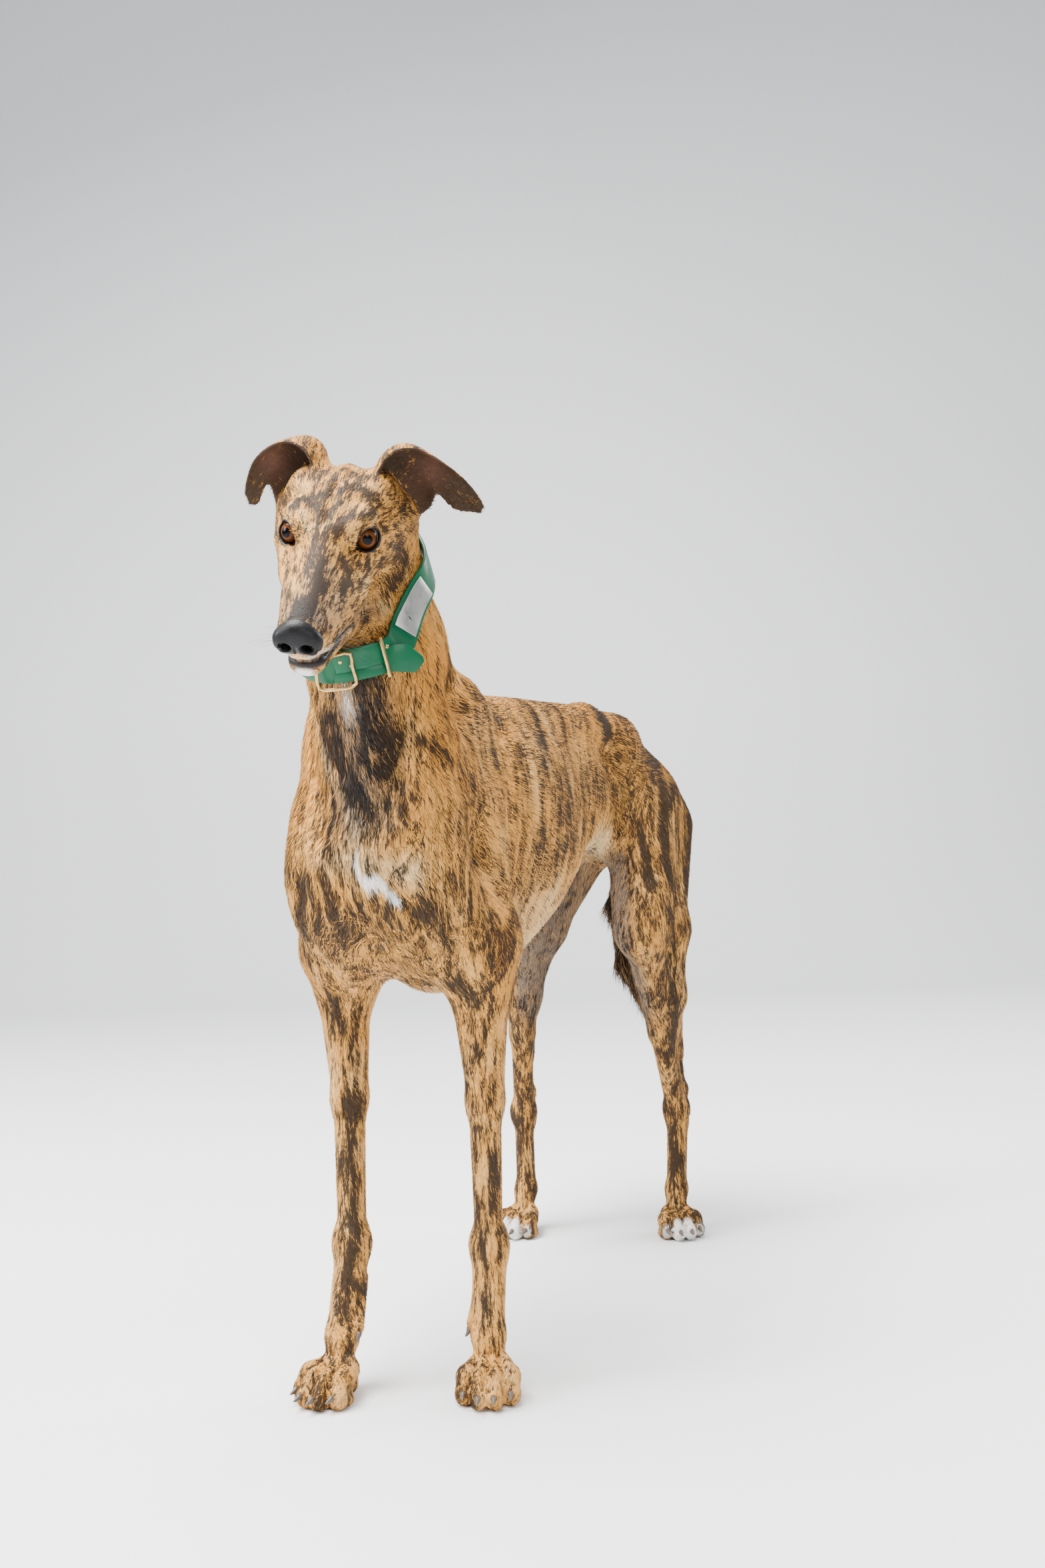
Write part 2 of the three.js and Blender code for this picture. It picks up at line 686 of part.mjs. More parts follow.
Object.entries(SIDES).forEach(([name, side]) => {
  const front = FORELEGS[name];
  const back = HINDLEGS[name];
  const cuts = legCuts[name];
  const upperArm = cast({
    spine: [add(front.elbow, [-6 * side, -16, 50]), front.elbow, add(front.elbow, [0, 2, -34])],
    aside: LEFTWARD,
    skin: flesh([trunk, fore[name].skin]),
    sides: 18,
    rings: 5,
    caps: 4,
    keeps: [...cuts.arm, flipped(cuts.elbow)],
  });
  const forearm = cast({
    spine: [add(front.elbow, [0, 2, -36]), add(front.wrist, [0, 0, 26])],
    aside: LEFTWARD,
    skin: fore[name].skin,
    sides: 14,
    rings: 7,
    caps: 2,
    keeps: [cuts.elbow, flipped(cuts.wrist)],
  });
  const wrist = cast({
    spine: [add(front.wrist, [0, 0, 20]), front.wrist, front.fetlock],
    aside: LEFTWARD,
    skin: fore[name].skin,
    sides: 12,
    rings: 7,
    caps: 2,
    keeps: [cuts.wrist, flipped(cuts.forePaw)],
  });
  const [dewclawRoot, dewclawTip] = fore[name].dewclaw;
  const dewclawLine = unit(less(dewclawTip, dewclawRoot));
  const dewclaw = cast({
    spine: [dewclawRoot, dewclawTip],
    aside: LEFTWARD,
    skin: rod(dewclawRoot, dewclawTip, 6, 5),
    sides: 8,
    rings: 1,
    caps: 2,
    keeps: [cut(add(dewclawTip, times(dewclawLine, 3)), times(dewclawLine, -1))],
  });
  const dewclawBed = facing(add(dewclawTip, times(dewclawLine, 3)), dewclawLine, [0, 1, 0]);
  place(`upper_arm_${name}`, upperArm, FAWN);
  place(`forearm_${name}`, forearm, FAWN);
  place(`wrist_${name}`, wrist.add(dewclaw).subtract(claw(dewclawBed, PARTING)), FAWN);
  place(`dewclaw_${name}`, claw(dewclawBed), CLAW);
  paw("fore", name, fore[name], front.fetlock, cuts.forePaw);

  const thigh = cast({
    spine: [
      add(back.hip, [10 * side, -6, -40]),
      add(back.stifle, [0, 46, 20]),
      add(back.stifle, [0, 36, -30]),
    ],
    aside: LEFTWARD,
    skin: flesh([trunk, hind[name].skin]),
    sides: 22,
    rings: 7,
    caps: 4,
    keeps: [...cuts.thigh, flipped(cuts.stifle)],
  });
  const shank = cast({
    spine: [
      add(back.stifle, [4 * side, 44, -34]),
      add(between(back.stifle, back.hock, 0.5), [3 * side, 10, 0]),
      between(back.stifle, back.hock, 0.84),
    ],
    aside: LEFTWARD,
    skin: hind[name].skin,
    sides: 16,
    rings: 8,
    caps: 3,
    keeps: [cuts.stifle, flipped(cuts.hock)],
  });
  const hock = cast({
    spine: [between(back.hock, back.stifle, 0.13), back.hock, back.fetlock],
    aside: LEFTWARD,
    skin: hind[name].skin,
    sides: 12,
    rings: 8,
    caps: 2,
    keeps: [cuts.hock, flipped(cuts.hindPaw)],
  });
  place(`thigh_${name}`, thigh, FAWN);
  place(`shank_${name}`, shank, FAWN);
  place(`hock_${name}`, hock, FAWN);
  paw("hind", name, hind[name], back.fetlock, cuts.hindPaw);
});

// Neck
const neckSpec = {
  spine: [
    [0, -48, 816],
    [0, -36, 764],
    [0, -20, 710],
    [0, -8, 671],
  ],
  aside: LEFTWARD,
  skin: flesh([trunk, neck, headForms]),
  sides: 24,
  rings: 8,
  caps: 3,
  keeps: [neckBase],
  sheds: [headCuts],
};
place("neck", cast(neckSpec), FAWN);

// Eyes and lids: a ball in a socket, under a shell with an almond opening
const sideways = headward([0, 1, 0]);
const ball = (radius) => new THREE.SphereGeometry(radius, 16, 8);
const eyeFrames = perSide((name, side) => {
  const mirror = ([x, y, z]) => [x, y * side, z];
  const slant = times(headward(mirror(EYE_SLANT)), side);
  return facing(onHead(mirror(EYE_SEAT)), headward(mirror(EYE_GAZE)), slant);
});
function almond(frame) {
  const [length, rise] = LID_OPENING;
  const outline = new THREE.Shape();
  outline.moveTo(-length, 0);
  outline.bezierCurveTo(-length * 0.6, rise * 1.2, length * 0.4, rise * 1.4, length, 0);
  outline.bezierCurveTo(length * 0.5, -rise * 1.25, -length * 0.5, -rise * 1.25, -length, 0);
  const cutter = new THREE.ExtrudeGeometry(outline, { depth: 30, bevelEnabled: false, curveSegments: 5 });
  return solidOf(reshaped(cutter, ([x, y, z]) => moved(frame, [z + 2, x, y])));
}
const inFrame = (geometry, frame) => solidOf(geometry.clone().applyMatrix4(frame));

// Nose leather with its nostrils
const noseBody = cast({
  spine: [onHead([116, 0, -25]), onHead([127, 0, -25])],
  aside: sideways,
  skin: noseForms,
  sides: 16,
  rings: 3,
  caps: 4,
  keeps: [noseCut],
});
const nostrils = both((side) => {
  const [x, y, z] = NOSTRIL;
  const outer = onHead([x - 4, (y + 5) * side, z - 1.5]);
  const hole = facing(onHead([x, y * side, z]), headward([0.8, 0.5 * side, -0.1]), sideways);
  const slit = facing(outer, headward([0.2, side, -0.25]), headward([1, 0, 0]));
  const round = new THREE.SphereGeometry(1, 8, 6).scale(6, 4.2, 3.6);
  const wing = new THREE.BoxGeometry(9, 10, 1.6);
  return [inFrame(round, hole), inFrame(wing, slit)];
});
const creaseFrame = facing(onHead([NOSTRIL[0], 0, -34]), headward([1, 0, 0]), sideways);
const crease = inFrame(new THREE.BoxGeometry(5, 0.9, 16), creaseFrame);
place("nose", noseBody.subtract(joined(nostrils)).subtract(crease), NOSE_LEATHER);

// Head, with the mouth slightly open over a lower jaw of its own
const headSpec = {
  spine: [onHead([-66, 0, -20]), onHead([0, 0, -22]), onHead([60, 0, -26]), onHead([110, 0, -28])],
  aside: sideways,
  skin: flesh([neck, headForms]),
  sides: 30,
  rings: 14,
  caps: 4,
  keeps: headCuts,
};
const lids = perSide((name) => inFrame(ball(EYE_RADIUS + PARTING + LID_THICKNESS), eyeFrames[name]));
const sockets = perSide((name) => {
  const frame = eyeFrames[name];
  return inFrame(ball(EYE_RADIUS + PARTING), frame).add(almond(frame));
});
const skull = cast(headSpec).add(lids.left).add(lids.right).subtract(sockets.left).subtract(sockets.right);
place("head", trimmed(skull, [flipped(noseCut)], [[jawBack, upperLip]]), FAWN);
place("eye_left", inFrame(ball(EYE_RADIUS), eyeFrames.left), EYE);
place("eye_right", inFrame(ball(EYE_RADIUS), eyeFrames.right), EYE);
place(
  "lower_jaw",
  cast({
    spine: [onHead([26, 0, -76]), onHead([104, 0, -62])],
    aside: sideways,
    skin: headForms,
    sides: 18,
    rings: 6,
    caps: 4,
    keeps: [jawBack, lowerLip, flipped(noseCut)],
  }),
  PALE,
);

// Ears: a leaf between a front edge and a rear edge, cupped at its root and folded out to its tip.
// Each station has a point on the front edge, one on the rear edge and the depth of the cup.
const EARS = {
  left: [
    [[-62, 26, 14], [-72, 60, -18], 26],
    [[-72, 40, 42], [-78, 77, -8], 26],
    [[-78, 60, 50], [-80, 84, 8], 20],
    [[-80, 82, 42], [-79, 90, 4], 13],
    [[-80, 106, 26], [-74, 101, -4], 6],
    [[-78, 121, 11], [-74, 115, -6], 3],
    [[-76, 129, -1], [-75, 126, -7], 1],
  ],
  right: [
    [[-60, -22, 12], [-70, -58, -20], 35],
    [[-68, -30, 37], [-74, -66, -8], 37],
    [[-76, -45, 46], [-76, -71, 4], 30],
    [[-78, -64, 43], [-74, -75, 4], 16],
    [[-75, -82, 29], [-70, -79, -5], 7],
    [[-71, -91, 9], [-68, -83, -14], 3],
    [[-70, -94, -7], [-68, -90, -14], 1],
  ],
};
const EAR_THICKNESS = [3.6, 2]; // at the root and at the tip
const CUP_BACK = [-0.84, -0.46, 0.28]; // back, inward and up on the left ear

function ear(stations, side) {
  const [back, inward, up] = CUP_BACK;
  const cupward = new THREE.Vector3(back, inward * side, up);
  const edge = (which) =>
    new THREE.CatmullRomCurve3(stations.map((station) => new THREE.Vector3(...station[which])));
  const front = edge(0);
  const rear = edge(1);
  const depth = new THREE.CatmullRomCurve3(stations.map(([, , cup]) => new THREE.Vector3(cup, 0, 0)));
  const surface = (along, share) => {
    const chord = new THREE.Vector3().lerpVectors(front.getPoint(along), rear.getPoint(along), share);
    const cup = depth.getPoint(along).x * Math.sin(Math.PI * share ** 0.8) ** 0.8;
    return chord.addScaledVector(cupward, cup);
  };
  const step = 0.01;
  const onto = ([x, y, z]) => {
    const along = clamp(x + 0.5, step, 1 - step);
    const share = clamp(y + 0.5, step, 1 - step);
    const down = surface(along + step, share).sub(surface(along - step, share));
    const over = surface(along, share + step).sub(surface(along, share - step));
    const out = down.cross(over).normalize();
    const thickness = THREE.MathUtils.lerp(...EAR_THICKNESS, along);
    return onHead(surface(x + 0.5, y + 0.5).addScaledVector(out, z * thickness).toArray());
  };
  return solidOf(reshaped(new THREE.BoxGeometry(1, 1, 1, 12, 6, 1), onto));
}
const grownHead = cast({ ...headSpec, growth: PARTING });
const grownNeck = cast({ ...neckSpec, growth: PARTING });
place("ear_left", ear(EARS.left, 1).subtract(grownHead).subtract(grownNeck), BRINDLE);
place("ear_right", ear(EARS.right, -1).subtract(grownHead).subtract(grownNeck), BRINDLE);

// Collar: a point on it has an angle round the neck, a place across the strap and a height over the skin
const collarSkin = flesh([neck, headForms]);
function onNeck(angle) {
  const direction = add(times(LEFTWARD, Math.cos(angle)), times(COLLAR_UP, Math.sin(angle)));
  const fore = Math.max(-Math.sin(angle), 0);
  const sag = COLLAR_LIFT * fore ** 2 - COLLAR_SAG * (2 * fore * Math.cos(angle)) ** 2;
  const rise = COLLAR_RISE * fore * Math.max(-Math.cos(angle), 0);
  const origin = add(COLLAR_CENTRE, [0, 0, sag + rise]);
  return add(origin, times(direction, reach(collarSkin.distance, origin, direction)));
}
function onCollar(angle, across, out) {
  const turn = radians(9);
  const middle = between(onNeck(angle), between(onNeck(angle - turn), onNeck(angle + turn), 0.5), 0.3);
  const along = new THREE.Vector3(...less(onNeck(angle + turn), onNeck(angle - turn))).normalize();
  const slope = LEFTWARD.map((_, i) => {
    const nudge = [0, 1, 2].map((axis) => (axis === i ? 3 : 0));
    return collarSkin.distance(add(middle, nudge)) - collarSkin.distance(less(middle, nudge));
  });
  const outward = new THREE.Vector3(...slope).projectOnPlane(along).normalize();
  const fore = Math.max(-Math.sin(angle), 0) ** 3;
  const flat = along.clone().cross(new THREE.Vector3(...COLLAR_AXIS));
  outward.lerp(flat, fore * COLLAR_TILT).normalize();
  const up = new THREE.Vector3().crossVectors(outward, along);
  return new THREE.Vector3(...middle)
    .addScaledVector(up, across)
    .addScaledVector(outward, out + fore * COLLAR_STAND)
    .toArray();
}

const STRAP_IN = PARTING + COLLAR_SLACK;
const STRAP_OUT = STRAP_IN + COLLAR_THICKNESS;

function strap(growth) {
  const onto = ([x, y, z]) => {
    const radius = Math.hypot(x, y);
    const isOuter = radius > 1.1 || z > 0.1;
    const isUpper = z > 0.1 || radius < 0.9;
    const across = (isUpper ? 1 : -1) * (COLLAR_WIDTH / 2 + growth);
    return onCollar(Math.atan2(y, x), across, isOuter ? STRAP_OUT + growth : STRAP_IN - growth);
  };
  return solidOf(reshaped(new THREE.TorusGeometry(1, 0.3, 4, 40), onto));
}
const grownStrap = strap(PARTING);
place("collar_band", strap(0).subtract(grownNeck).subtract(grownHead), LEATHER);

// A patch of strap lies on the collar from one angle to another
function patch(from, to, width, low, high, segments) {
  const onto = ([x, y, z]) => {
    const angle = radians(from + (to - from) * (x + 0.5));
    return onCollar(angle, y * width, low + (high - low) * (z + 0.5));
  };
  return solidOf(reshaped(new THREE.BoxGeometry(1, 1, 1, segments, 2, 1), onto));
}
place("collar_plate", patch(-32, 8, 23, STRAP_OUT - 0.4, STRAP_OUT + 1.5, 6).subtract(grownStrap), SILVER);

// The free end lies on the strap from the buckle to the keeper, then stands off the neck to its point
const END_TIP = [71, -64, 691];
const END_FROM = -86;
const END_KEEPER = -60;
const END_HOLD = 0.5; // share of the free end that lies on the strap
function freeEnd(growth) {
  const onto = ([x, y, z]) => {
    const along = x + 0.5;
    const level = STRAP_OUT - 0.4 + (z + 0.5) * (COLLAR_THICKNESS + 0.7) + 2 * z * growth;
    const point = clamp((1 - along) / 0.16, 0.08, 1) ** 0.7;
    const across = y * (COLLAR_WIDTH - 3) * point + 2 * y * growth;
    const turned = END_FROM + (END_KEEPER - END_FROM) * Math.min(along / END_HOLD, 1);
    const held = onCollar(radians(turned), across, level);
    if (along <= END_HOLD) return held;
    const keeper = onCollar(radians(END_KEEPER), 0, STRAP_OUT);
    return add(held, times(less(END_TIP, keeper), (along - END_HOLD) / (1 - END_HOLD)));
  };
  return solidOf(reshaped(new THREE.BoxGeometry(1, 1, 1, 18, 2, 1), onto)).subtract(grownStrap);
}
const grownEnd = freeEnd(PARTING);
place("collar_end", freeEnd(0).subtract(grownNeck), LEATHER);

// Brass wire along a closed or open line
function wire(points, closed, segments) {
  const line = new THREE.CatmullRomCurve3(
    points.map((point) => new THREE.Vector3(...point)),
    closed,
    "centripetal",
  );
  if (closed) return solidOf(new THREE.TubeGeometry(line, segments, WIRE, 6, true));
  const tube = new THREE.CapsuleGeometry(1, 1, 2, 6, segments);
  const onto = ([x, y, z]) => {
    const along = clamp(y, -0.5, 0.5);
    const origin = line.getPointAt(along + 0.5);
    const tangent = line.getTangentAt(along + 0.5);
    const depth = new THREE.Vector3(...LEFTWARD).cross(tangent).normalize();
    const across = new THREE.Vector3().crossVectors(tangent, depth);
    return origin
      .addScaledVector(across, x * WIRE)
      .addScaledVector(depth, z * WIRE)
      .addScaledVector(tangent, (y - along) * WIRE)
      .toArray();
  };
  return solidOf(reshaped(tube, onto));
}
const BUCKLE = { from: -92, to: -77, low: -17, high: 12 };
const OVER_END = STRAP_OUT + 2 * PARTING + COLLAR_THICKNESS + WIRE + 0.3;
const corner = (angle, across, out) => onCollar(radians(angle), across, out);
place(
  "collar_buckle",
  wire(
    [
      corner(BUCKLE.from, BUCKLE.low, OVER_END),
      corner(BUCKLE.from, 0, OVER_END),
      corner(BUCKLE.from, BUCKLE.high, OVER_END),
      corner((BUCKLE.from + BUCKLE.to) / 2, BUCKLE.high + 1, OVER_END),
      corner(BUCKLE.to, BUCKLE.high, OVER_END),
      corner(BUCKLE.to, 0, OVER_END),
      corner(BUCKLE.to, BUCKLE.low, OVER_END),
      corner((BUCKLE.from + BUCKLE.to) / 2, BUCKLE.low - 1, OVER_END),
    ],
    true,
    24,
  )
    .subtract(grownEnd)
    .subtract(grownStrap),
  BRASS,
);
const KEEPER_HALF = 18;
place(
  "collar_keeper",
  wire(
    [
      corner(END_KEEPER - 1, -KEEPER_HALF, STRAP_IN + WIRE),
      corner(END_KEEPER - 1, -KEEPER_HALF, OVER_END - 1),
      corner(END_KEEPER - 1, -KEEPER_HALF + 6, OVER_END + 0.4),
      corner(END_KEEPER - 1, KEEPER_HALF - 6, OVER_END + 0.4),
      corner(END_KEEPER - 1, KEEPER_HALF, OVER_END - 1),
      corner(END_KEEPER - 1, KEEPER_HALF, STRAP_IN + WIRE),
    ],
    false,
    14,
  )
    .subtract(grownEnd)
    .subtract(grownStrap)
    .subtract(grownNeck),
  BRASS,
);

const bounds = new THREE.Box3().setFromObject(dog);
dog.children.forEach((mesh) => {
  mesh.geometry.translate(-(bounds.min.x + bounds.max.x) / 2, -(bounds.min.y + bounds.max.y) / 2, 0);
});

export default dog;
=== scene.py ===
# %% [markdown]
# # A brindle greyhound, standing
# The dog stands square on four paws with its head turned to its left, and wears a wide leather collar.
# Its solids come in as a frame of named parts. Here one skin is drawn over all parts of flesh, a short
# coat is laid on that skin, and the eyes, the nose, the claws and the collar get their real surfaces.
# Lengths in the frame are metres. The body's own forms are given in millimetres, as it was drawn.

import math

import bmesh
import bpy
import numpy as np
from mathutils import Matrix, Vector
from mathutils.bvhtree import BVHTree


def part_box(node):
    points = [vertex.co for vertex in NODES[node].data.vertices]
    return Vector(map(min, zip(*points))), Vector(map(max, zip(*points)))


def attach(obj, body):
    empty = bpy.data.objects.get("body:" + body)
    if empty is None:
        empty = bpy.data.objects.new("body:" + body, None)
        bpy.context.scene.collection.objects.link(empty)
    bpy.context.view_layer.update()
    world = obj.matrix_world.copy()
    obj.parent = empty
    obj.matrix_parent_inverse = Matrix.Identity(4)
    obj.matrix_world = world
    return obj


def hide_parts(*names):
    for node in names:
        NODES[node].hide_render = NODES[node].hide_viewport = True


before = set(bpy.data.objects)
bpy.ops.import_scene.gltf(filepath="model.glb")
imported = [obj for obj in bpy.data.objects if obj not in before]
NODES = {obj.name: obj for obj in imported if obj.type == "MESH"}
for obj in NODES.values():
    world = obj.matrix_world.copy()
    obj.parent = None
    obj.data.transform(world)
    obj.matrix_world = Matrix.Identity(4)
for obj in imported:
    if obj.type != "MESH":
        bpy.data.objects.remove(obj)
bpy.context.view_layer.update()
MM = 0.001
print("nodes:", len(NODES))

# %% [markdown]
# ## Camera
# The picture was taken from low in front of the dog, at the height of its chest, with a moderate wide lens.
# The lens length is given for the long side of the picture, as a camera that is held upright has it.

# %% Camera
CAMERA_PLACE = Vector((0.7012, -1.3639, 0.513))
CAMERA_TURN = math.radians(25.57)
CAMERA_PITCH = math.radians(2.85)
CAMERA_ROLL = math.radians(-1.76)
LENS = 31.0
SENSOR = 36.0


def make_camera():
    camera = bpy.data.objects.new("camera", bpy.data.cameras.new("camera"))
    bpy.context.scene.collection.objects.link(camera)
    camera.data.sensor_fit = "VERTICAL"
    camera.data.sensor_height = SENSOR
    camera.data.lens = LENS
    camera.data.clip_start = 0.05
    upright = Matrix.Rotation(math.radians(90) + CAMERA_PITCH, 4, "X")
    turn = Matrix.Rotation(CAMERA_TURN, 4, "Z")
    roll = Matrix.Rotation(CAMERA_ROLL, 4, "Z")
    camera.matrix_world = Matrix.Translation(CAMERA_PLACE) @ turn @ upright @ roll
    bpy.context.scene.camera = camera


make_camera()
print("camera at", tuple(CAMERA_PLACE), "lens", LENS)

# %% [markdown]
# ## Floor and light
# A pale floor that turns up into a wall keeps every edge of the dog readable. The light copies an overcast
# day: a large soft source above, a broad one from the camera's left, a weak one from its right and a faint
# one from behind.

# %% Floor
FLOOR_HALF = 6.0
WALL_AWAY = 3.2
WALL_HEIGHT = 5.0
SWEEP = 1.2
PALE = (0.86, 0.87, 0.88, 1.0)


def plain_material(name, colour, roughness=0.6):
    material = bpy.data.materials.new(name)
    material.use_nodes = True
    shader = material.node_tree.nodes["Principled BSDF"]
    shader.inputs["Base Color"].default_value = colour
    shader.inputs["Roughness"].default_value = roughness
    return material


def object_from(bm, name, material=None):
    mesh = bpy.data.meshes.new(name)
    bm.to_mesh(mesh)
    bm.free()
    piece = bpy.data.objects.new(name, mesh)
    bpy.context.scene.collection.objects.link(piece)
    if material:
        mesh.materials.append(material)
    mesh.shade_smooth()
    return piece


def make_floor():
    bm = bmesh.new()
    bmesh.ops.create_grid(bm, x_segments=1, y_segments=1, size=FLOOR_HALF)
    view = Matrix.Rotation(CAMERA_TURN, 4, "Z")
    far = [e for e in bm.edges if min(v.co.y for v in e.verts) > 0]
    bmesh.ops.translate(bm, verts=far[0].verts, vec=(0, WALL_AWAY - FLOOR_HALF, 0))
    centre = (0, WALL_AWAY, SWEEP)
    quarter = math.radians(90)
    spun = bmesh.ops.spin(bm, geom=far, axis=(1, 0, 0), cent=centre, angle=quarter, steps=16)["geom_last"]
    foot = [e for e in spun if isinstance(e, bmesh.types.BMEdge)]
    wall = bmesh.ops.extrude_edge_only(bm, edges=foot)["geom"]
    top = [v for v in wall if isinstance(v, bmesh.types.BMVert)]
    bmesh.ops.translate(bm, verts=top, vec=(0, 0, WALL_HEIGHT))
    bmesh.ops.transform(bm, matrix=view, verts=bm.verts)
    bmesh.ops.recalc_face_normals(bm, faces=bm.faces)
    floor = object_from(bm, "floor", plain_material("pale_paper", PALE, 0.85))


make_floor()

# %% Light
LAMPS = [
    ("sky", (-0.5, -0.8, 3.2), 2.4, 430, (1.0, 0.98, 0.95)),
    ("open_side", (-2.6, -2.2, 2.0), 1.8, 170, (0.97, 0.98, 1.0)),
    ("camera_side", (2.6, -2.2, 1.6), 1.6, 48, (1.0, 0.97, 0.93)),
    ("back", (1.8, 2.6, 2.6), 1.6, 90, (1.0, 1.0, 1.0)),
]
AIM = Vector((0, 0, 0.45))
SKY = (0.72, 0.76, 0.82, 1.0)
SKY_STRENGTH = 0.50


def make_lamps():
    for name, place, size, power, colour in LAMPS:
        light = bpy.data.lights.new(name, "AREA")
        light.shape = "DISK"
        light.size = size
        light.energy = power
        light.color = colour
        lamp = bpy.data.objects.new(name, light)
        bpy.context.scene.collection.objects.link(lamp)
        lamp.location = place
        lamp.rotation_euler = (AIM - Vector(place)).to_track_quat("-Z", "Y").to_euler()
    world = bpy.data.worlds.new("sky")
    bpy.context.scene.world = world
    world.use_nodes = True
    background = world.node_tree.nodes["Background"]
    background.inputs["Color"].default_value = SKY
    background.inputs["Strength"].default_value = SKY_STRENGTH


make_lamps()
print("lamps:", len(LAMPS))

# %% [markdown]
# ## The forms of the body
# A greyhound's skin is so thin that the bones and muscles give its whole shape. So the skin is worked out as
# a field: rods and egg-shaped masses stand for bones and muscles, and flow into each other. At any point the
# field tells about how far it is to the skin, negative inside. The solids were cast from the same forms,
# so the same sizes are repeated here, in millimetres.

# %% Forms
FAR = 80.0


class Form:
    def __init__(self, value, blend, low, high):
        self.value = value
        self.blend = blend
        self.low = np.array(low, float)
        self.high = np.array(high, float)


def rod(start, end, start_radius, end_radius=None, blend=14):
    start = np.array(start, float)
    end = np.array(end, float)
    end_radius = start_radius if end_radius is None else end_radius
    run = end - start
    widest = max(start_radius, end_radius)

    def value(p):
        share = np.clip((p - start) @ run / (run @ run), 0, 1)
        gap = np.linalg.norm(p - start - share[:, None] * run, axis=1)
        return gap - start_radius - (end_radius - start_radius) * share

    return Form(value, blend, np.minimum(start, end) - widest, np.maximum(start, end) + widest)


def mass(centre, radii, blend=18):
    centre = np.array(centre, float)
    radii = np.array(radii, float)

    def value(p):
        scaled = (p - centre) / radii
        near = np.linalg.norm(scaled, axis=1)
        slope = np.linalg.norm(scaled / radii, axis=1) + 1e-9
        return np.where(near < 1e-4, -radii.min(), near * (near - 1) / slope)

    return Form(value, blend, centre - radii, centre + radii)


def chain(points, radii, blend):
    pairs = zip(points[:-1], points[1:], radii[:-1], radii[1:])
    return [rod(a, b, start, end, blend) for a, b, start, end in pairs]


def flow(a, b, blend):
    near = np.maximum(blend - np.abs(a - b), 0) / max(blend, 1e-6)
    return np.minimum(a, b) - near * near * blend / 4


def flesh(forms, blend=0, inside=None):
    """Forms that flow together. inside turns points into the forms' own frame, where they have one."""
    low = np.min([form.low for form in forms], axis=0) - FAR
    high = np.max([form.high for form in forms], axis=0) + FAR

    def value(p):
        q = p if inside is None else inside(p)
        total = np.full(len(p), FAR)
        near = np.all((q > low) & (q < high), axis=1)
        if near.any():
            q = q[near]
            some = forms[0].value(q)
            for form in forms[1:]:
                some = flow(some, form.value(q), form.blend)
            total[near] = np.minimum(some, FAR)
        return total

    return Form(value, blend, low, high)


def whole(parts):
    def value(p):
        total = parts[0].value(p)
        for part in parts[1:]:
            total = flow(total, part.value(p), part.blend)
        return total

    return value


def both(make):
    return [form for side in (1, -1) for form in make(side)]


def between(a, b, share):
    a = np.array(a, float)
    return a + (np.array(b, float) - a) * share


def off(a, step):
    return np.array(a, float) + np.array(step, float)


# %% Trunk and neck
WITHERS = 682
LOIN_RISE = 9
CHEST_HALF_WIDTH = 90
BRISKET = 380
TUCK_UP = 503
BACK = WITHERS - 24


def trunk_forms():
    rib_depth = WITHERS - 537
    return [
        mass([0, 78, 530], [CHEST_HALF_WIDTH - 16, 142, rib_depth]),
        mass([0, 195, 548], [CHEST_HALF_WIDTH, 135, 130], 40),
        rod([0, -44, 480], [0, 70, BRISKET + 40], 42, 38, 30),
        rod([0, 70, BRISKET + 40], [0, 190, BRISKET + 64], 38, 44, 30),
        rod([0, 190, BRISKET + 64], [0, 310, 506], 44, 48, 30),
        mass([0, -56, 522], [34, 34, 42], 24),
        mass([0, 330, 608], [62, 150, 74], 40),
        rod([0, 215, 505], [0, 380, TUCK_UP + 62], 68, 52, 40),
        rod([0, 380, TUCK_UP + 62], [0, 500, TUCK_UP + 50], 52, 46, 30),
        mass([0, 540, 608], [64, 96, 68], 40),
        rod([0, 500, 560], [0, 600, 572], 44, 46, 30),
        rod([0, 590, 624], [0, 636, 600], 24, 17, 26),
        *both(trunk_side),
    ]


def trunk_side(side):
    return [
        rod([24 * side, 130, BACK - 4], [27 * side, 400, BACK + LOIN_RISE - 2], 24, 26, 24),
        rod([27 * side, 400, BACK + LOIN_RISE - 2], [30 * side, 505, BACK + 4], 26, 26, 20),
        mass([40 * side, 488, 653], [18, 30, 23], 24),
        rod([38 * side, 500, 628], [46 * side, 574, 584], 30, 30, 30),
        rod([43 * side, 556, 580], [42 * side, 622, 560], 32, 20, 30),
        rod([26 * side, 85, 652], [54 * side, -30, 545], 26, 29, 28),
        mass([51 * side, -46, 474], [32, 34, 46], 24),
        rod([52 * side, 50, 552], [74 * side, 40, 428], 34, 33, 30),
        rod([28 * side, -52, 503], [34 * side, -14, 438], 38, 31, 30),
    ]


def neck_forms():
    windpipe = [[2, -60, 812], [2, -58, 760], [0, -58, 690], [0, -42, 600]]
    nape = [[0, -32, 836], [-3, -12, 780], [0, 14, 728], [0, 64, 668]]

    def strap_muscle(side):
        line = [[33, -48, 820], [31, -34, 770], [37, -26, 700], [45, -28, 620], [52, -42, 530]]
        return chain([[x * side, y, z] for x, y, z in line], [21, 19, 27, 30, 29], 24)

    return [
        *chain(windpipe, [42, 43, 46, 48], 20),
        *chain(nape, [35, 36, 40, 39], 30),
        *both(strap_muscle),
    ]


trunk = flesh(trunk_forms())
neck = flesh(neck_forms(), 46)

# %% [markdown]
# The head has a frame of its own, because it is turned, lowered and tilted: X runs to the nose, Y to the
# dog's left and Z up from the bridge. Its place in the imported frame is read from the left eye.

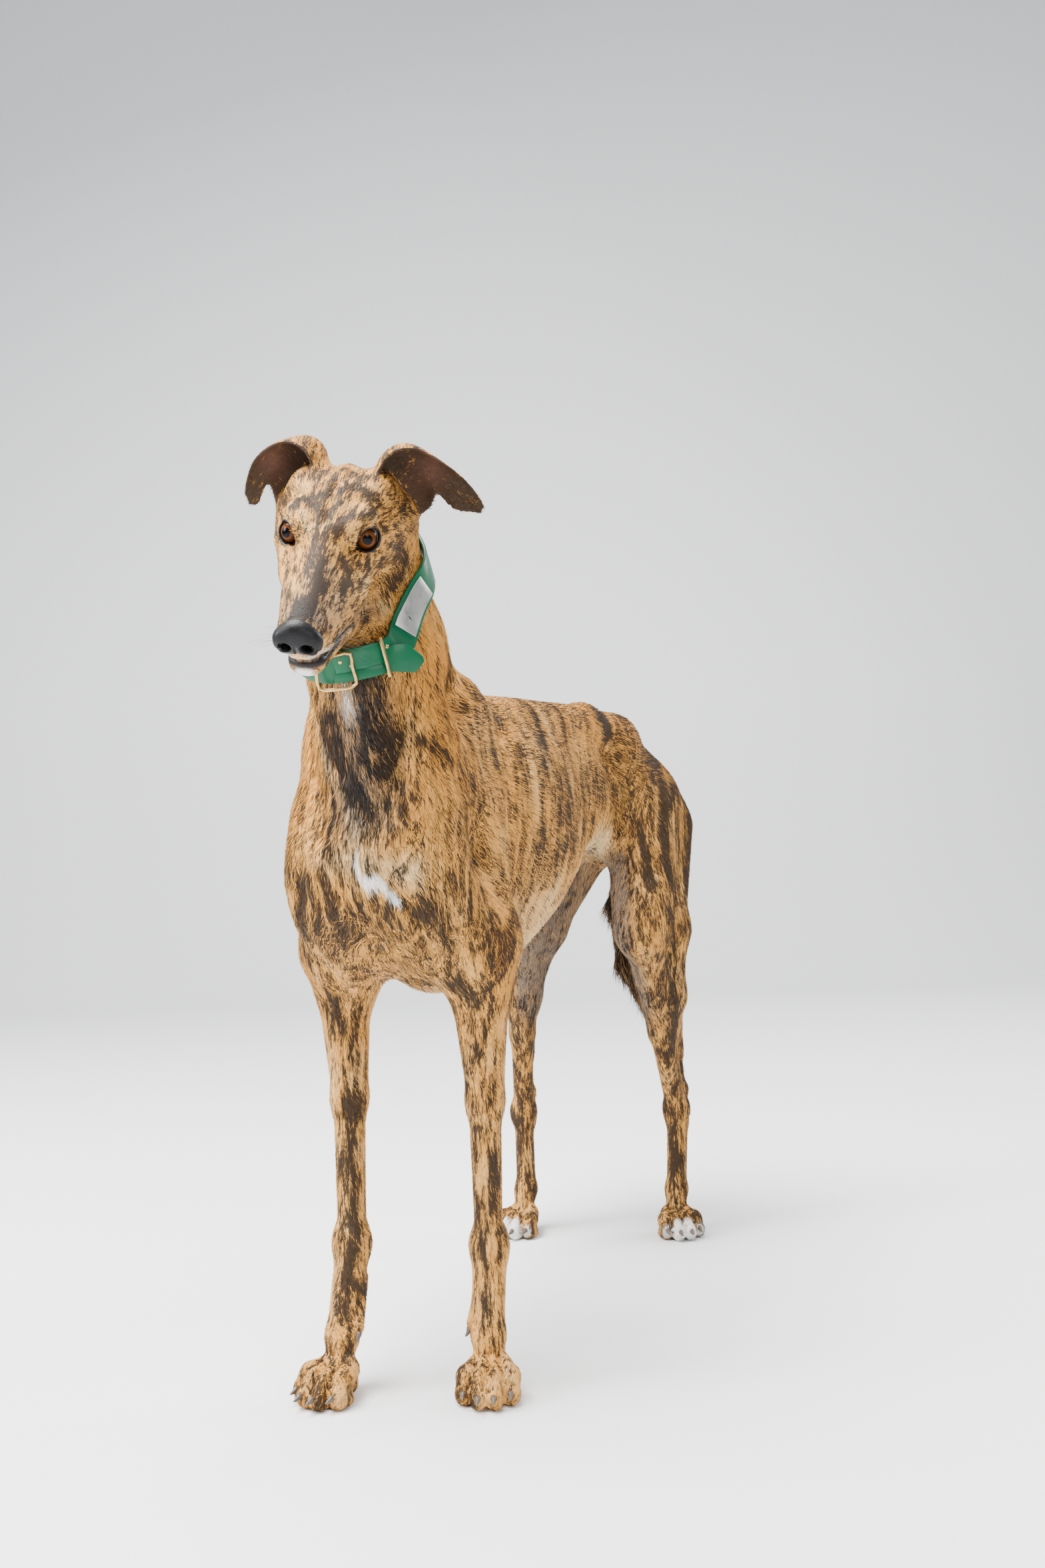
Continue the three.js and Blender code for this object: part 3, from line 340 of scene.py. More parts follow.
# %% Head frame
EYE_CENTRE = [20, -135, 798]
HEAD_TURN = math.radians(16.5)
HEAD_DROP = math.radians(42.3)
HEAD_TILT = math.radians(9.9)
EYE_RADIUS = 12
EYE_SEAT = [-2.4, 31.2, -1.4]
EYE_GAZE = [0.77, 0.57, 0.28]
EYE_SLANT = [-0.64, 0.7, 0.3]


def head_axes():
    east, north = math.sin(HEAD_TURN), -math.cos(HEAD_TURN)
    ahead = np.array([east * math.cos(HEAD_DROP), north * math.cos(HEAD_DROP), -math.sin(HEAD_DROP)])
    level = np.array([-north, east, 0])
    crown = np.cross(ahead, level)
    left = level * math.cos(HEAD_TILT) - crown * math.sin(HEAD_TILT)
    return np.stack([ahead, left, np.cross(ahead, left)])


HEAD = head_axes()


def to_head(p):
    return (np.asarray(p, float) - EYE_CENTRE) @ HEAD.T


def on_head(q):
    return np.asarray(q, float) @ HEAD + EYE_CENTRE


def middle_of(node):
    low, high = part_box(node)
    return np.array((low + high) / 2)


SHIFT = on_head(EYE_SEAT) - middle_of("eye_left") / MM


def to_body(metres):
    return np.asarray(metres, float) / MM + SHIFT


def to_frame(millimetres):
    return (np.asarray(millimetres, float) - SHIFT) * MM


print("drawing origin in the frame:", to_frame([0, 0, 0]).round(4))

# %% Head forms
MOUTH_CORNER = [30, 0, -64]
LIP_SLOPES = (0.1434, 0.1005)


def head_side(side):
    seat = [EYE_SEAT[0], EYE_SEAT[1] * side, EYE_SEAT[2]]
    return [
        mass([-62, 31 * side, 4], [36, 22, 25], 14),
        rod([-70, 49 * side, -14], [-14, 40 * side, -16], 17, 11, 14),
        rod([-14, 40 * side, -16], [30, 26 * side, -26], 11, 11, 12),
        mass([-46, 36 * side, -44], [34, 20, 34], 16),
        rod([-16, 30 * side, 13], [8, 21 * side, 11], 10, 9, 10),
        rod([0, 20 * side, -20], [110, 9 * side, -30], 21, 13.5, 14),
        rod([24, 26 * side, -44], [100, 12 * side, -42], 12, 11, 9),
        rod([100, 12 * side, -42], [118, 5 * side, -40], 11, 10.5, 6),
        rod([24, 20 * side, -68], [92, 8 * side, -65], 13, 9.5, 10),
        mass(seat, [14, 14, 14], 8),
    ]


HEAD_FORMS = [
    mass([-58, 0, -4], [48, 46, 35]),
    mass([-16, 0, -1], [40, 33, 24], 20),
    rod([-4, 0, 0], [124, 0, -23], 20, 14.5, 16),
    mass([-98, 0, -4], [16, 22, 18], 16),
    *both(head_side),
    rod([-46, 0, -62], [30, 0, -66], 29, 21, 18),
    rod([30, 0, -66], [100, 0, -63], 21, 12, 12),
    mass([106, 0, -63], [14, 16, 12], 8),
]
NOSE_FORMS = [
    mass([127, 0, -23], [14, 17, 16]),
    *both(lambda side: [mass([130, 11.5 * side, -26], [10, 9.5, 11], 5)]),
]

# %% [markdown]
# The mouth is a little open. Two planes that meet at its corners bound the gap between the lips. The gap is
# shallow, because gums and tongue fill the mouth a few millimetres inside the lips. Each eye opens between
# two lids: a thin shell over the ball, cut through by an almond of two arcs.

# %% Mouth and lids
LID_THICKNESS = 2.3
LID_HALF = 12.6
LID_RISE = 8.6
LID_FALL = 7.8
LID_FLOOR = 4.0
LID_CREASE = 4.4
CREASE_DEPTH = 0.8
MOUTH_DEPTH = 8.0
NOSE_SINK = 1.2
NOSE_BACK = 117


def eye_axes(side):
    gaze = np.array([EYE_GAZE[0], EYE_GAZE[1] * side, EYE_GAZE[2]])
    gaze /= np.linalg.norm(gaze)
    slant = np.array([EYE_SLANT[0], EYE_SLANT[1] * side, EYE_SLANT[2]])
    along = slant - gaze * (slant @ gaze)
    along /= np.linalg.norm(along)
    up = np.cross(gaze, along) * side
    return np.stack([gaze, along, up])


EYES = {"left": 1, "right": -1}
EYE_AXES = {name: eye_axes(side) for name, side in EYES.items()}


def in_eye(name, q):
    seat = np.array([EYE_SEAT[0], EYE_SEAT[1] * EYES[name], EYE_SEAT[2]])
    return (q - seat) @ EYE_AXES[name].T


def almond(along, up):
    """Negative between the lids: the overlap of two discs, one for each lid."""

    def arc(rise, sign):
        radius = (LID_HALF**2 + rise**2) / (2 * rise)
        return np.hypot(along, up - sign * (rise - radius)) - radius

    return np.maximum(arc(LID_RISE, 1), arc(LID_FALL, -1))


def carve(a, b, rounding):
    """Takes b out of a and rounds the rim."""
    return -flow(-a, b, rounding)


def lip_gap(q):
    """Distance from the gap between the lips, negative inside it."""
    ahead = q[:, 0] - MOUTH_CORNER[0]
    upper = q[:, 2] - MOUTH_CORNER[2] - LIP_SLOPES[0] * ahead
    lower = MOUTH_CORNER[2] + LIP_SLOPES[1] * ahead - q[:, 2]
    return np.maximum(np.maximum(upper, lower), -ahead)


def head_value(q):
    value = head_flesh.value(q)
    for name in EYES:
        eye = in_eye(name, q)
        lid = np.linalg.norm(eye, axis=1) - EYE_RADIUS - LID_THICKNESS
        value = flow(value, lid, 5)
        slit = almond(eye[:, 1], eye[:, 2])
        crease = np.exp(-(((slit - LID_CREASE) / 1.4) ** 2)) * (eye[:, 0] > 0)
        opening = np.maximum(slit, LID_FLOOR - eye[:, 0])
        value = carve(value + CREASE_DEPTH * crease, opening, 1.6)
    deep = value + MOUTH_DEPTH
    value = carve(value, np.maximum(nose_flesh.value(q) + NOSE_SINK, NOSE_BACK - q[:, 0]), 1)
    return np.minimum(carve(value, lip_gap(q), 2.5), deep)


head_flesh = flesh(HEAD_FORMS)
nose_flesh = flesh(NOSE_FORMS)
head = Form(lambda p: head_value(to_head(p)), 20, [0] * 3, [0] * 3)

# %% [markdown]
# Each leg is a chain of joints with its muscles and tendons. A paw has a frame on the ground, with four toes
# in a row: the two middle ones lead.

# %% Legs
FORELEGS = {
    "left": {
        "shoulder": [57, -48, 514],
        "elbow": [70, 36, 385],
        "wrist": [64, 48, 134],
        "fetlock": [66, 38, 52],
        "paw": [72, 26],
        "heading": 22,
    },
    "right": {
        "shoulder": [-54, -46, 508],
        "elbow": [-77, 26, 385],
        "wrist": [-70, 12, 134],
        "fetlock": [-66, -14, 52],
        "paw": [-63, -30],
        "heading": -8,
    },
}
HINDLEGS = {
    "left": {
        "hip": [46, 560, 590],
        "stifle": [71, 474, 408],
        "hock": [58, 616, 160],
        "heel": [57, 646, 182],
        "fetlock": [58, 606, 54],
        "paw": [62, 592],
        "heading": 36,
    },
    "right": {
        "hip": [-50, 556, 590],
        "stifle": [-92, 460, 410],
        "hock": [-138, 548, 158],
        "heel": [-142, 577, 180],
        "fetlock": [-135, 542, 54],
        "paw": [-134, 528],
        "heading": -4,
    },
}
TOES = [(-22, 24, 14), (-7.5, 35, 21), (7.5, 35, 21), (22, 24, 14)]
PAD_SINK = 1.2
HIND_PAW_SIZE = 0.94


def paw_turn(leg):
    angle = math.radians(leg["heading"] - 90)
    c, s = math.cos(angle), math.sin(angle)
    return np.array([[c, s, 0], [-s, c, 0], [0, 0, 1]])


def to_paw(leg, p):
    return (np.asarray(p, float) - [*leg["paw"], 0]) @ paw_turn(leg).T


def from_paw(leg, q):
    return np.asarray(q, float) @ paw_turn(leg) + [*leg["paw"], 0]


def toe_forms(toe, size):
    across, ahead, knuckle = toe
    low = 8.7 - PAD_SINK
    return [
        rod([-4, across * 0.5, 26], [knuckle, across * 0.88, 23], 11 * size, 10.6 * size, 8),
        rod([knuckle, across * 0.88, 23], [ahead, across, 13], 10.6 * size, 9.2 * size, 5),
        rod([knuckle, across, low], [ahead, across, low], 9 * size, 8.4 * size, 4),
    ]


def paw_flesh(leg, size):
    fetlock = to_paw(leg, leg["fetlock"])
    core = [
        rod(fetlock, [-2, 0, 27], 14, 13),
        mass([-6, 0, 12 - PAD_SINK], [15 * size, 18 * size, 12], 8),
    ]
    toes = [form for toe in TOES for form in toe_forms(toe, size)]
    return flesh(core + toes, 12, lambda p: to_paw(leg, p))


def foreleg(side, leg):
    shoulder, elbow, wrist, fetlock = (leg[k] for k in ("shoulder", "elbow", "wrist", "fetlock"))
    low = between(elbow, wrist, 0.45)
    arm = between(shoulder, elbow, 0.72)
    dewclaw = [off(wrist, [-11 * side, 2, -34]), off(fetlock, [-19 * side, 0, 8])]
    upper = flesh(
        [
            rod(between(shoulder, elbow, 0.15), arm, 32, 38, 20),
            rod(arm, elbow, 38, 30, 20),
            rod(off(elbow, [side * 2, 14, 40]), off(elbow, [side * 3, 17, 2]), 24, 14, 18),
            rod(off(elbow, [0, -6, -6]), low, 28, 18, 18),
            rod(off(elbow, [side * 3, 8, -20]), off(low, [0, 8, 0]), 18, 12, 14),
            rod(low, wrist, 17.5, 15, 14),
            rod(off(low, [0, 6, -20]), off(wrist, [0, 10, 8]), 10, 8, 10),
            mass(off(wrist, [0, -1, 0]), [19, 17, 21], 12),
            mass(off(wrist, [4 * side, 16, -12]), [8, 8, 10], 8),
            rod(wrist, fetlock, 15, 13, 12),
            rod(off(wrist, [6 * side, 2, -4]), off(fetlock, [5 * side, -2, 0]), 11, 10, 8),
            rod(off(wrist, [-7 * side, 2, -4]), off(fetlock, [-6 * side, -2, 0]), 11, 10, 8),
            rod(*dewclaw, 6, 5, 5),
        ]
    )
    return flesh_of(upper, paw_flesh(leg, 1), 30)


def hindleg(side, leg):
    hip, stifle, hock, heel, fetlock = (leg[k] for k in ("hip", "stifle", "hock", "heel", "fetlock"))
    calf = off(between(stifle, heel, 0.4), [8 * side, 13, 2])
    upper = flesh(
        [
            rod(off(hip, [0, 0, -14]), stifle, 42, 33, 20),
            rod(off(hip, [8 * side, 42, -50]), off(stifle, [4 * side, 80, 4]), 46, 28, 34),
            rod(off(hip, [8 * side, -30, -30]), off(stifle, [2 * side, 4, 20]), 42, 30, 30),
            rod(off(hip, [-14 * side, 10, -60]), off(stifle, [-12 * side, 60, 10]), 38, 24, 30),
            mass(off(stifle, [0, -10, 2]), [22, 22, 28], 16),
            rod(off(stifle, [0, 6, -4]), between(stifle, hock, 0.55), 28, 16, 20),
            rod(off(stifle, [6 * side, 75, -6]), calf, 29, 23, 28),
            rod(calf, between(calf, heel, 0.6), 23, 9, 18),
            rod(between(between(stifle, hock, 0.45), calf, 0.6), between(hock, heel, 0.5), 14, 9, 16),
            rod(between(stifle, hock, 0.55), hock, 16, 14, 14),
            rod(between(calf, heel, 0.5), heel, 8, 8, 12),
            mass(hock, [17, 19, 22], 12),
            rod(heel, off(hock, [0, 10, -14]), 9, 11, 10),
            rod(hock, fetlock, 14, 12.5, 12),
            rod(off(hock, [3 * side, 8, -20]), off(fetlock, [0, 4, 6]), 11, 10, 8),
        ]
    )
    return flesh_of(upper, paw_flesh(leg, HIND_PAW_SIZE), 34)


def flesh_of(upper, paw, blend):
    low = np.minimum(upper.low, [upper.low[0], upper.low[1], -FAR])

    def value(p):
        total = np.full(len(p), FAR)
        near = np.all((p > low) & (p < upper.high), axis=1)
        if near.any():
            q = p[near]
            total[near] = flow(upper.value(q), paw.value(q), paw.blend)
        return total

    return Form(value, blend, low, upper.high)


fore = {name: foreleg(side, FORELEGS[name]) for name, side in EYES.items()}
hind = {name: hindleg(side, HINDLEGS[name]) for name, side in EYES.items()}

# %% Tail
TAIL_ROUTE = [
    [0, 622, 610],
    [-5, 660, 580],
    [-22, 676, 510],
    [-34, 662, 430],
    [-22, 654, 350],
    [14, 664, 270],
    [38, 682, 205],
]
TAIL_RADII = [19, 17, 15, 14.5, 13, 9, 4.5]
tail = flesh(chain(TAIL_ROUTE, TAIL_RADII, 16), 14)

# %% [markdown]
# An ear is a leaf of gristle between a front edge and a rear edge. It is cupped at its root and folds out to
# its tip. Stations along the ear give a point on each edge and the depth of the cup, and a smooth curve
# runs through them.

# %% Ears
EARS = {
    "left": [
        ([-62, 26, 14], [-72, 60, -18], 26),
        ([-72, 40, 42], [-78, 77, -8], 26),
        ([-78, 60, 50], [-80, 84, 8], 20),
        ([-80, 82, 42], [-79, 90, 4], 13),
        ([-80, 106, 26], [-74, 101, -4], 6),
        ([-78, 121, 11], [-74, 115, -6], 3),
        ([-76, 129, -1], [-75, 126, -7], 1),
    ],
    "right": [
        ([-60, -22, 12], [-70, -58, -20], 35),
        ([-68, -30, 37], [-74, -66, -8], 37),
        ([-76, -45, 46], [-76, -71, 4], 30),
        ([-78, -64, 43], [-74, -75, 4], 16),
        ([-75, -82, 29], [-70, -79, -5], 7),
        ([-71, -91, 9], [-68, -83, -14], 3),
        ([-70, -94, -7], [-68, -90, -14], 1),
    ],
}
EAR_THICKNESS = (3.6, 2.0)
CUP_BACK = [-0.84, -0.46, 0.28]
EAR_STEPS = (48, 28)
EAR_LENGTH = 90
EAR_MARGIN = 24


def smooth_line(points, along):
    """A curve through points, with along from 0 to 1."""
    points = np.array(points, float)
    ends = np.vstack([2 * points[0] - points[1], points, 2 * points[-1] - points[-2]])
    t = np.clip(np.asarray(along) * (len(points) - 1), 0, len(points) - 1 - 1e-9)
    i = t.astype(int)
    f = (t - i)[:, None]
    a, b, c, d = ends[i], ends[i + 1], ends[i + 2], ends[i + 3]
    return b + 0.5 * f * (c - a + f * (2 * a - 5 * b + 4 * c - d + f * (3 * (b - c) + d - a)))


def leaf_points(name, along, share):
    stations = EARS[name]
    front = smooth_line([s[0] for s in stations], along)
    rear = smooth_line([s[1] for s in stations], along)
    cup = smooth_line([[s[2]] for s in stations], along)
    cupward = np.array([CUP_BACK[0], CUP_BACK[1] * EYES[name], CUP_BACK[2]])
    chord = front + (rear - front) * share[:, None]
    bend = np.sin(np.pi * np.clip(share, 0, 1) ** 0.8) ** 0.8
    return chord + cupward * cup * bend[:, None]


def leaf_tree(name):
    """The middle sheet of an ear, from a grid that is bent into place."""
    bm = bmesh.new()
    bmesh.ops.create_grid(bm, x_segments=EAR_STEPS[0], y_segments=EAR_STEPS[1], size=0.5)
    flat = np.array([v.co for v in bm.verts])
    bent = leaf_points(name, flat[:, 0] + 0.5, flat[:, 1] + 0.5)
    for vertex, place in zip(bm.verts, bent):
        vertex.co = place
    tree = BVHTree.FromBMesh(bm)
    bm.free()
    return tree, bent


def ear(name):
    tree, spots = leaf_tree(name)
    low = spots.min(0) - EAR_MARGIN
    high = spots.max(0) + EAR_MARGIN
    root = leaf_points(name, np.zeros(1), np.full(1, 0.5))[0]

    def value(p):
        q = to_head(p)
        total = np.full(len(p), FAR)
        near = np.flatnonzero(np.all((q > low) & (q < high), axis=1))
        for i in near:
            spot, _, _, gap = tree.find_nearest(Vector(q[i]))
            outward = min((spot - Vector(root)).length / EAR_LENGTH, 1)
            half = (EAR_THICKNESS[0] + (EAR_THICKNESS[1] - EAR_THICKNESS[0]) * outward) / 2
            total[i] = gap - half
        return total

    return Form(value, 7, low, high)


ears = {name: ear(name) for name in EYES}

# %% [markdown]
# ## Relief
# Under so thin a skin the edges of muscles, the ribs, the tendons and the veins stand out. Each is a line
# along which the skin rises or sinks by a few millimetres. The lines are laid onto the body's surface first.

# %% Sliding onto the field
SLOPE_STEP = 0.4
base_value = whole([trunk, neck, head, *fore.values(), *hind.values(), tail, *ears.values()])


def slope_of(value, p):
    """Slope and value of a field, from the four corners of a small tetrahedron."""
    corners = np.array([[1, 1, 1], [1, -1, -1], [-1, 1, -1], [-1, -1, 1]], float)
    samples = [value(p + corner * SLOPE_STEP) for corner in corners]
    slope = sum(corner * sample[:, None] for corner, sample in zip(corners, samples)) / (4 * SLOPE_STEP)
    return slope, sum(samples) / 4


def slide(p, value, depth, times=5, longest=3.0):
    """Moves points along the field's slope until they lie the given depth under its surface."""
    for _ in range(times):
        slope, here = slope_of(value, p)
        steep = np.maximum((slope**2).sum(1), 0.25)
        move = -slope * ((here + depth) / steep)[:, None]
        length = np.linalg.norm(move, axis=1) + 1e-9
        p = p + move * np.minimum(1, longest / length)[:, None]
    return p


# %% Relief lines
RIBS = 8
RIB_SPACING = 26


def mirrored(lines, turn):
    """Lines of (height, width, points) with every point multiplied by turn."""
    return [(height, width, np.array(line, float) * turn) for height, width, line in lines]


def trunk_relief(side):
    lines = [
        (1.5, 9, [[24, 84, 676], [48, 50, 630], [64, 10, 575], [68, -10, 545]]),
        (-3.2, 13, [[40, 130, 664], [72, 110, 600], [86, 80, 530], [88, 60, 470]]),
        (-2.2, 10, [[22, 60, 690], [44, 14, 640], [58, -30, 590]]),
        (-2.2, 8, [[90, 84, 452], [94, 62, 402]]),
        (-7.0, 10, [[0, -96, 512], [4, -88, 470], [0, -60, 425]]),
        (-4.2, 9, [[50, -84, 508], [62, -64, 452], [60, -46, 410]]),
        (-4.4, 9, [[50, -60, 670], [54, -66, 612], [40, -79, 568], [30, -90, 530]]),
        (1.4, 9, [[56, -40, 680], [70, -34, 620], [74, -40, 560]]),
        (-2.4, 10, [[12, -96, 690], [8, -94, 640], [6, -92, 590]]),
        (-3.0, 14, [[50, 336, 654], [66, 356, 600], [60, 340, 536]]),
        (-3.4, 9, [[72, 506, 640], [64, 482, 598], [50, 464, 530]]),
        (1.2, 8, [[50, 440, 560], [60, 462, 500]]),
        (-1.6, 7, [[0, 100, 684], [0, 300, 690], [0, 480, 690]]),
        (-2.0, 9, [[76, 520, 640], [94, 512, 570], [100, 500, 500], [100, 484, 440]]),
        (-2.0, 9, [[84, 592, 604], [98, 588, 540], [100, 564, 470]]),
    ]
    for i in range(RIBS):
        back = RIB_SPACING * i
        rib = [[58, 140 + back, 640], [86, 168 + back, 570], [82, 190 + back, 500], [56, 200 + back, 440]]
        lines.append((1.0, 6, rib))
    return mirrored(lines, (side, 1, 1))


def foreleg_relief(side, leg):
    elbow, wrist, fetlock = leg["elbow"], leg["wrist"], leg["fetlock"]
    low = between(elbow, wrist, 0.45)

    def down_arm(*steps):
        return [off(joint, [x * side, y, z]) for joint, (x, y, z) in zip((elbow, low, wrist), steps)]

    return [
        (1.0, 3.4, down_arm((8, -26, -30), (-2, -17, 0), (-6, -16, 24))),
        (-1.8, 5, down_arm((22, 10, -36), (13, 6, 0), (13, 8, 24))),
        (-1.6, 5, down_arm((-20, 12, -36), (-12, 8, 0), (-12, 9, 24))),
        (1.0, 3.4, [off(wrist, [0, -18, -18]), off(fetlock, [0, -13, 4])]),
        (-1.2, 3.6, [off(wrist, [9 * side, -14, -20]), off(fetlock, [7 * side, -11, 6])]),
        (-1.2, 3.6, [off(wrist, [-9 * side, -14, -20]), off(fetlock, [-7 * side, -11, 6])]),
    ]


def hindleg_relief(side, leg):
    stifle, hock, heel, fetlock = leg["stifle"], leg["hock"], leg["heel"], leg["fetlock"]
    middle = between(stifle, hock, 0.5)
    low = between(stifle, hock, 0.85)
    webs = [(-3.0, 8, [off(middle, [14 * s, 26, 8]), off(low, [12 * s, 22, 4])]) for s in (1, -1)]
    return webs + [
        (-2.0, 7, [off(stifle, [26 * side, 34, -20]), off(middle, [16 * side, 12, 20])]),
        (1.2, 6, [off(hock, [16 * side, 8, 10]), off(hock, [15 * side, 2, -4])]),
        (-1.6, 6, [off(hock, [14 * side, 18, 26]), off(hock, [14 * side, 14, 2])]),
        (1.0, 3.6, [off(hock, [0, -17, -14]), off(fetlock, [0, -12, 8])]),
        (-1.2, 4, [off(hock, [10 * side, -8, -20]), off(fetlock, [8 * side, -6, 8])]),
        (1.0, 4, [off(heel, [0, 6, 30]), off(heel, [0, 8, 0])]),
    ]


def paw_relief(leg):
    """Clefts between the toes."""
    lines = []
    for left, right in zip(TOES[:-1], TOES[1:]):
        across = (left[0] + right[0]) / 2
        path = [[4, across * 0.7, 38], [18, across * 0.85, 34], [30, across, 22], [34, across, 8]]
        lines.append((-3.6, 3.2, from_paw(leg, path)))
    return lines


def head_relief(side):
    lines = [
        (1.2, 5, [[-16, 38, 14], [-4, 33, 19], [9, 21, 17]]),
        (-1.8, 5, [[14, 27, -6], [26, 25, -14], [46, 21, -18]]),
        (1.3, 6, [[-64, 52, -16], [-30, 48, -20], [2, 40, -24], [28, 28, -26]]),
        (-2.4, 8, [[-44, 44, 8], [-24, 42, 6]]),
        (-1.6, 6, [[-2, 44, -36], [0, 42, -54], [-8, 38, -66]]),
        (-1.2, 5, [[20, 18, -2], [70, 13, -12], [110, 10, -18]]),
        (0.9, 4, [[40, 26, -56], [74, 19, -53], [106, 11, -49]]),
        (-1.6, 5, [[-40, 0, 36], [-10, 0, 26], [12, 0, 22]]),
        (1.2, 6, [[-100, 0, 22], [-60, 0, 34]]),
        (-1.0, 3, [[26, 30, -62], [14, 36, -56], [4, 41, -50]]),
        (-0.8, 2.4, [[84, 17, -34], [100, 14, -32], [114, 12, -32]]),
    ]
    return [(height, width, on_head(line)) for height, width, line in mirrored(lines, (1, side, 1))]


def relief_lines():
    lines = []
    for name, side in EYES.items():
        lines += trunk_relief(side) + head_relief(side)
        lines += foreleg_relief(side, FORELEGS[name]) + hindleg_relief(side, HINDLEGS[name])
        lines += paw_relief(FORELEGS[name]) + paw_relief(HINDLEGS[name])
    laid = []
    for height, width, line in lines:
        dense = smooth_line(line, np.linspace(0, 1, 5 * len(line)))
        laid.append((height, width, slide(dense, base_value, 0.0, 6, 6.0)))
    return laid


def gap_to(line, p):
    """Square of the distance from each point to a line of straight steps."""
    gap = np.full(len(p), 1e9)
    for start, end in zip(line[:-1], line[1:]):
        run = end - start
        share = np.clip((p - start) @ run / (run @ run + 1e-9), 0, 1)
        gap = np.minimum(gap, ((p - start - share[:, None] * run) ** 2).sum(1))
    return gap


def along_lines(lines, p):
    """Sum of soft ridges, each (height, width, line)."""
    total = np.zeros(len(p))
    for height, width, line in lines:
        reach = 2.5 * width
        near = np.flatnonzero(np.all((p > line.min(0) - reach) & (p < line.max(0) + reach), axis=1))
        if len(near):
            total[near] += height * np.exp(-gap_to(line, p[near]) / width**2)
    return total


RELIEF = relief_lines()
print("relief lines:", len(RELIEF))

# %% [markdown]
# ## Skin
# The skin starts from copies of the solids of flesh, remeshed into three sheets: fine on the head, less fine
# on the feet and coarse on the body. The sheets are cut at the collar and just above the hocks, and sewn edge
# to edge into one closed skin. Each point then slides along the field's slope until it lies on the skin, a
# coat's depth inside the solids.

# %% Sheets
HEAD_FLESH = ["head", "lower_jaw", "ear_left", "ear_right"]
TRUNK_FLESH = ["chest", "loin", "croup", "tail"]
LEG_FLESH = ["upper_arm", "forearm", "wrist", "fore_paw", "thigh", "shank", "hock", "hind_paw"]
LIMBS = [f"{part}_{side}" for part in LEG_FLESH for side in EYES]
LOWER_LEG = ("forearm", "wrist", "fore_paw", "shank", "hock", "hind_paw")
FLESH = HEAD_FLESH + ["neck"] + TRUNK_FLESH + LIMBS
HEAD_VOXEL = 0.0022
BODY_VOXEL = 0.0066
FOOT_VOXEL = 0.0030
COLLAR_CENTRE = [0, -45, 757]
COLLAR_AXIS = [0, -0.8, 0.6]
FEET_TOP = 198.0
SEAM_SHARE = 0.4
SWELL = {"ear_left": 1.1, "ear_right": 1.1}


def add_part(bm, part):
    """Moves the contents of one bmesh into another."""
    mesh = bpy.data.meshes.new("part")
    part.to_mesh(mesh)
    part.free()
    bm.from_mesh(mesh)
    bpy.data.meshes.remove(mesh)


def merged_copy(names):
    """One mesh of several nodes, each with its corners merged."""
    bm = bmesh.new()
    for name in names:
        part = bmesh.new()
        part.from_mesh(NODES[name].data)
        bmesh.ops.remove_doubles(part, verts=part.verts, dist=1e-6)
        part.normal_update()
        swell = SWELL.get(name, 0.2) * MM
        for vertex in part.verts:
            vertex.co += vertex.normal * swell
        add_part(bm, part)
    return bm


def remeshed(bm, voxel):
    piece = object_from(bm, "sheet")
    modifier = piece.modifiers.new("remesh", "REMESH")
    modifier.mode = "VOXEL"
    modifier.voxel_size = voxel
    shaped = bpy.data.meshes.new_from_object(piece.evaluated_get(bpy.context.evaluated_depsgraph_get()))
    bpy.data.objects.remove(piece)
    sheet = bmesh.new()
    sheet.from_mesh(shaped)
    bpy.data.meshes.remove(shaped)
    return sheet


def cut_sheet(bm, point, normal, voxel):
    """Keeps the side that the normal points to, and tidies the cut's short edges."""
    normal = Vector(normal)
    geometry = bm.verts[:] + bm.edges[:] + bm.faces[:]
    set_back = Vector(point) + normal * voxel * SEAM_SHARE
    bmesh.ops.bisect_plane(bm, geom=geometry, plane_co=set_back, plane_no=normal, clear_inner=True)
    edge = [v for v in bm.verts if v.is_boundary]
    bmesh.ops.remove_doubles(bm, verts=edge, dist=voxel * 0.45)
    return bm


def sheets():
    collar = to_frame(COLLAR_CENTRE)
    axis = Vector(COLLAR_AXIS)
    feet = (0, 0, FEET_TOP * MM)
    top = cut_sheet(remeshed(merged_copy(HEAD_FLESH + ["neck"]), HEAD_VOXEL), collar, axis, HEAD_VOXEL)
    body = remeshed(merged_copy(["head", "lower_jaw", "neck"] + TRUNK_FLESH + LIMBS), BODY_VOXEL)
    body = cut_sheet(cut_sheet(body, collar, -axis, BODY_VOXEL), feet, (0, 0, 1), BODY_VOXEL)
    lower = [name for name in LIMBS if name.startswith(LOWER_LEG)]
    base = cut_sheet(remeshed(merged_copy(lower), FOOT_VOXEL), feet, (0, 0, -1), FOOT_VOXEL)
    print("faces of the head, the body and the feet:", [len(part.faces) for part in (top, body, base)])
    return top, body, base


def sewn(parts):
    bm = bmesh.new()
    for part in parts:
        add_part(bm, part)
    loops = open_loops(bm)
    print("open edges to sew:", [len(loop) for loop in loops])
    while loops:
        loop = loops.pop()
        centre = loop_centre(loop)
        mate = min(loops, key=lambda other: (loop_centre(other) - centre).length)
        loops.remove(mate)
        bmesh.ops.bridge_loops(bm, edges=loop + mate)
    return bm


def loop_centre(loop):
    return sum((v.co for edge in loop for v in edge.verts), Vector()) / (2 * len(loop))


def open_loops(bm):
    left = dict.fromkeys(edge for edge in bm.edges if edge.is_boundary)
    loops = []
    while left:
        loop = [left.popitem()[0]]
        ends = list(loop[0].verts)
        while ends:
            vertex = ends.pop()
            for edge in vertex.link_edges:
                if edge in left:
                    del left[edge]
                    loop.append(edge)
                    ends.append(edge.other_vert(vertex))
        loops.append(loop)
    return loops


skin_mesh = sewn(sheets())
open_edges = sum(edge.is_boundary for edge in skin_mesh.edges)
print("skin sheet:", len(skin_mesh.verts), "points,", open_edges, "open edges")

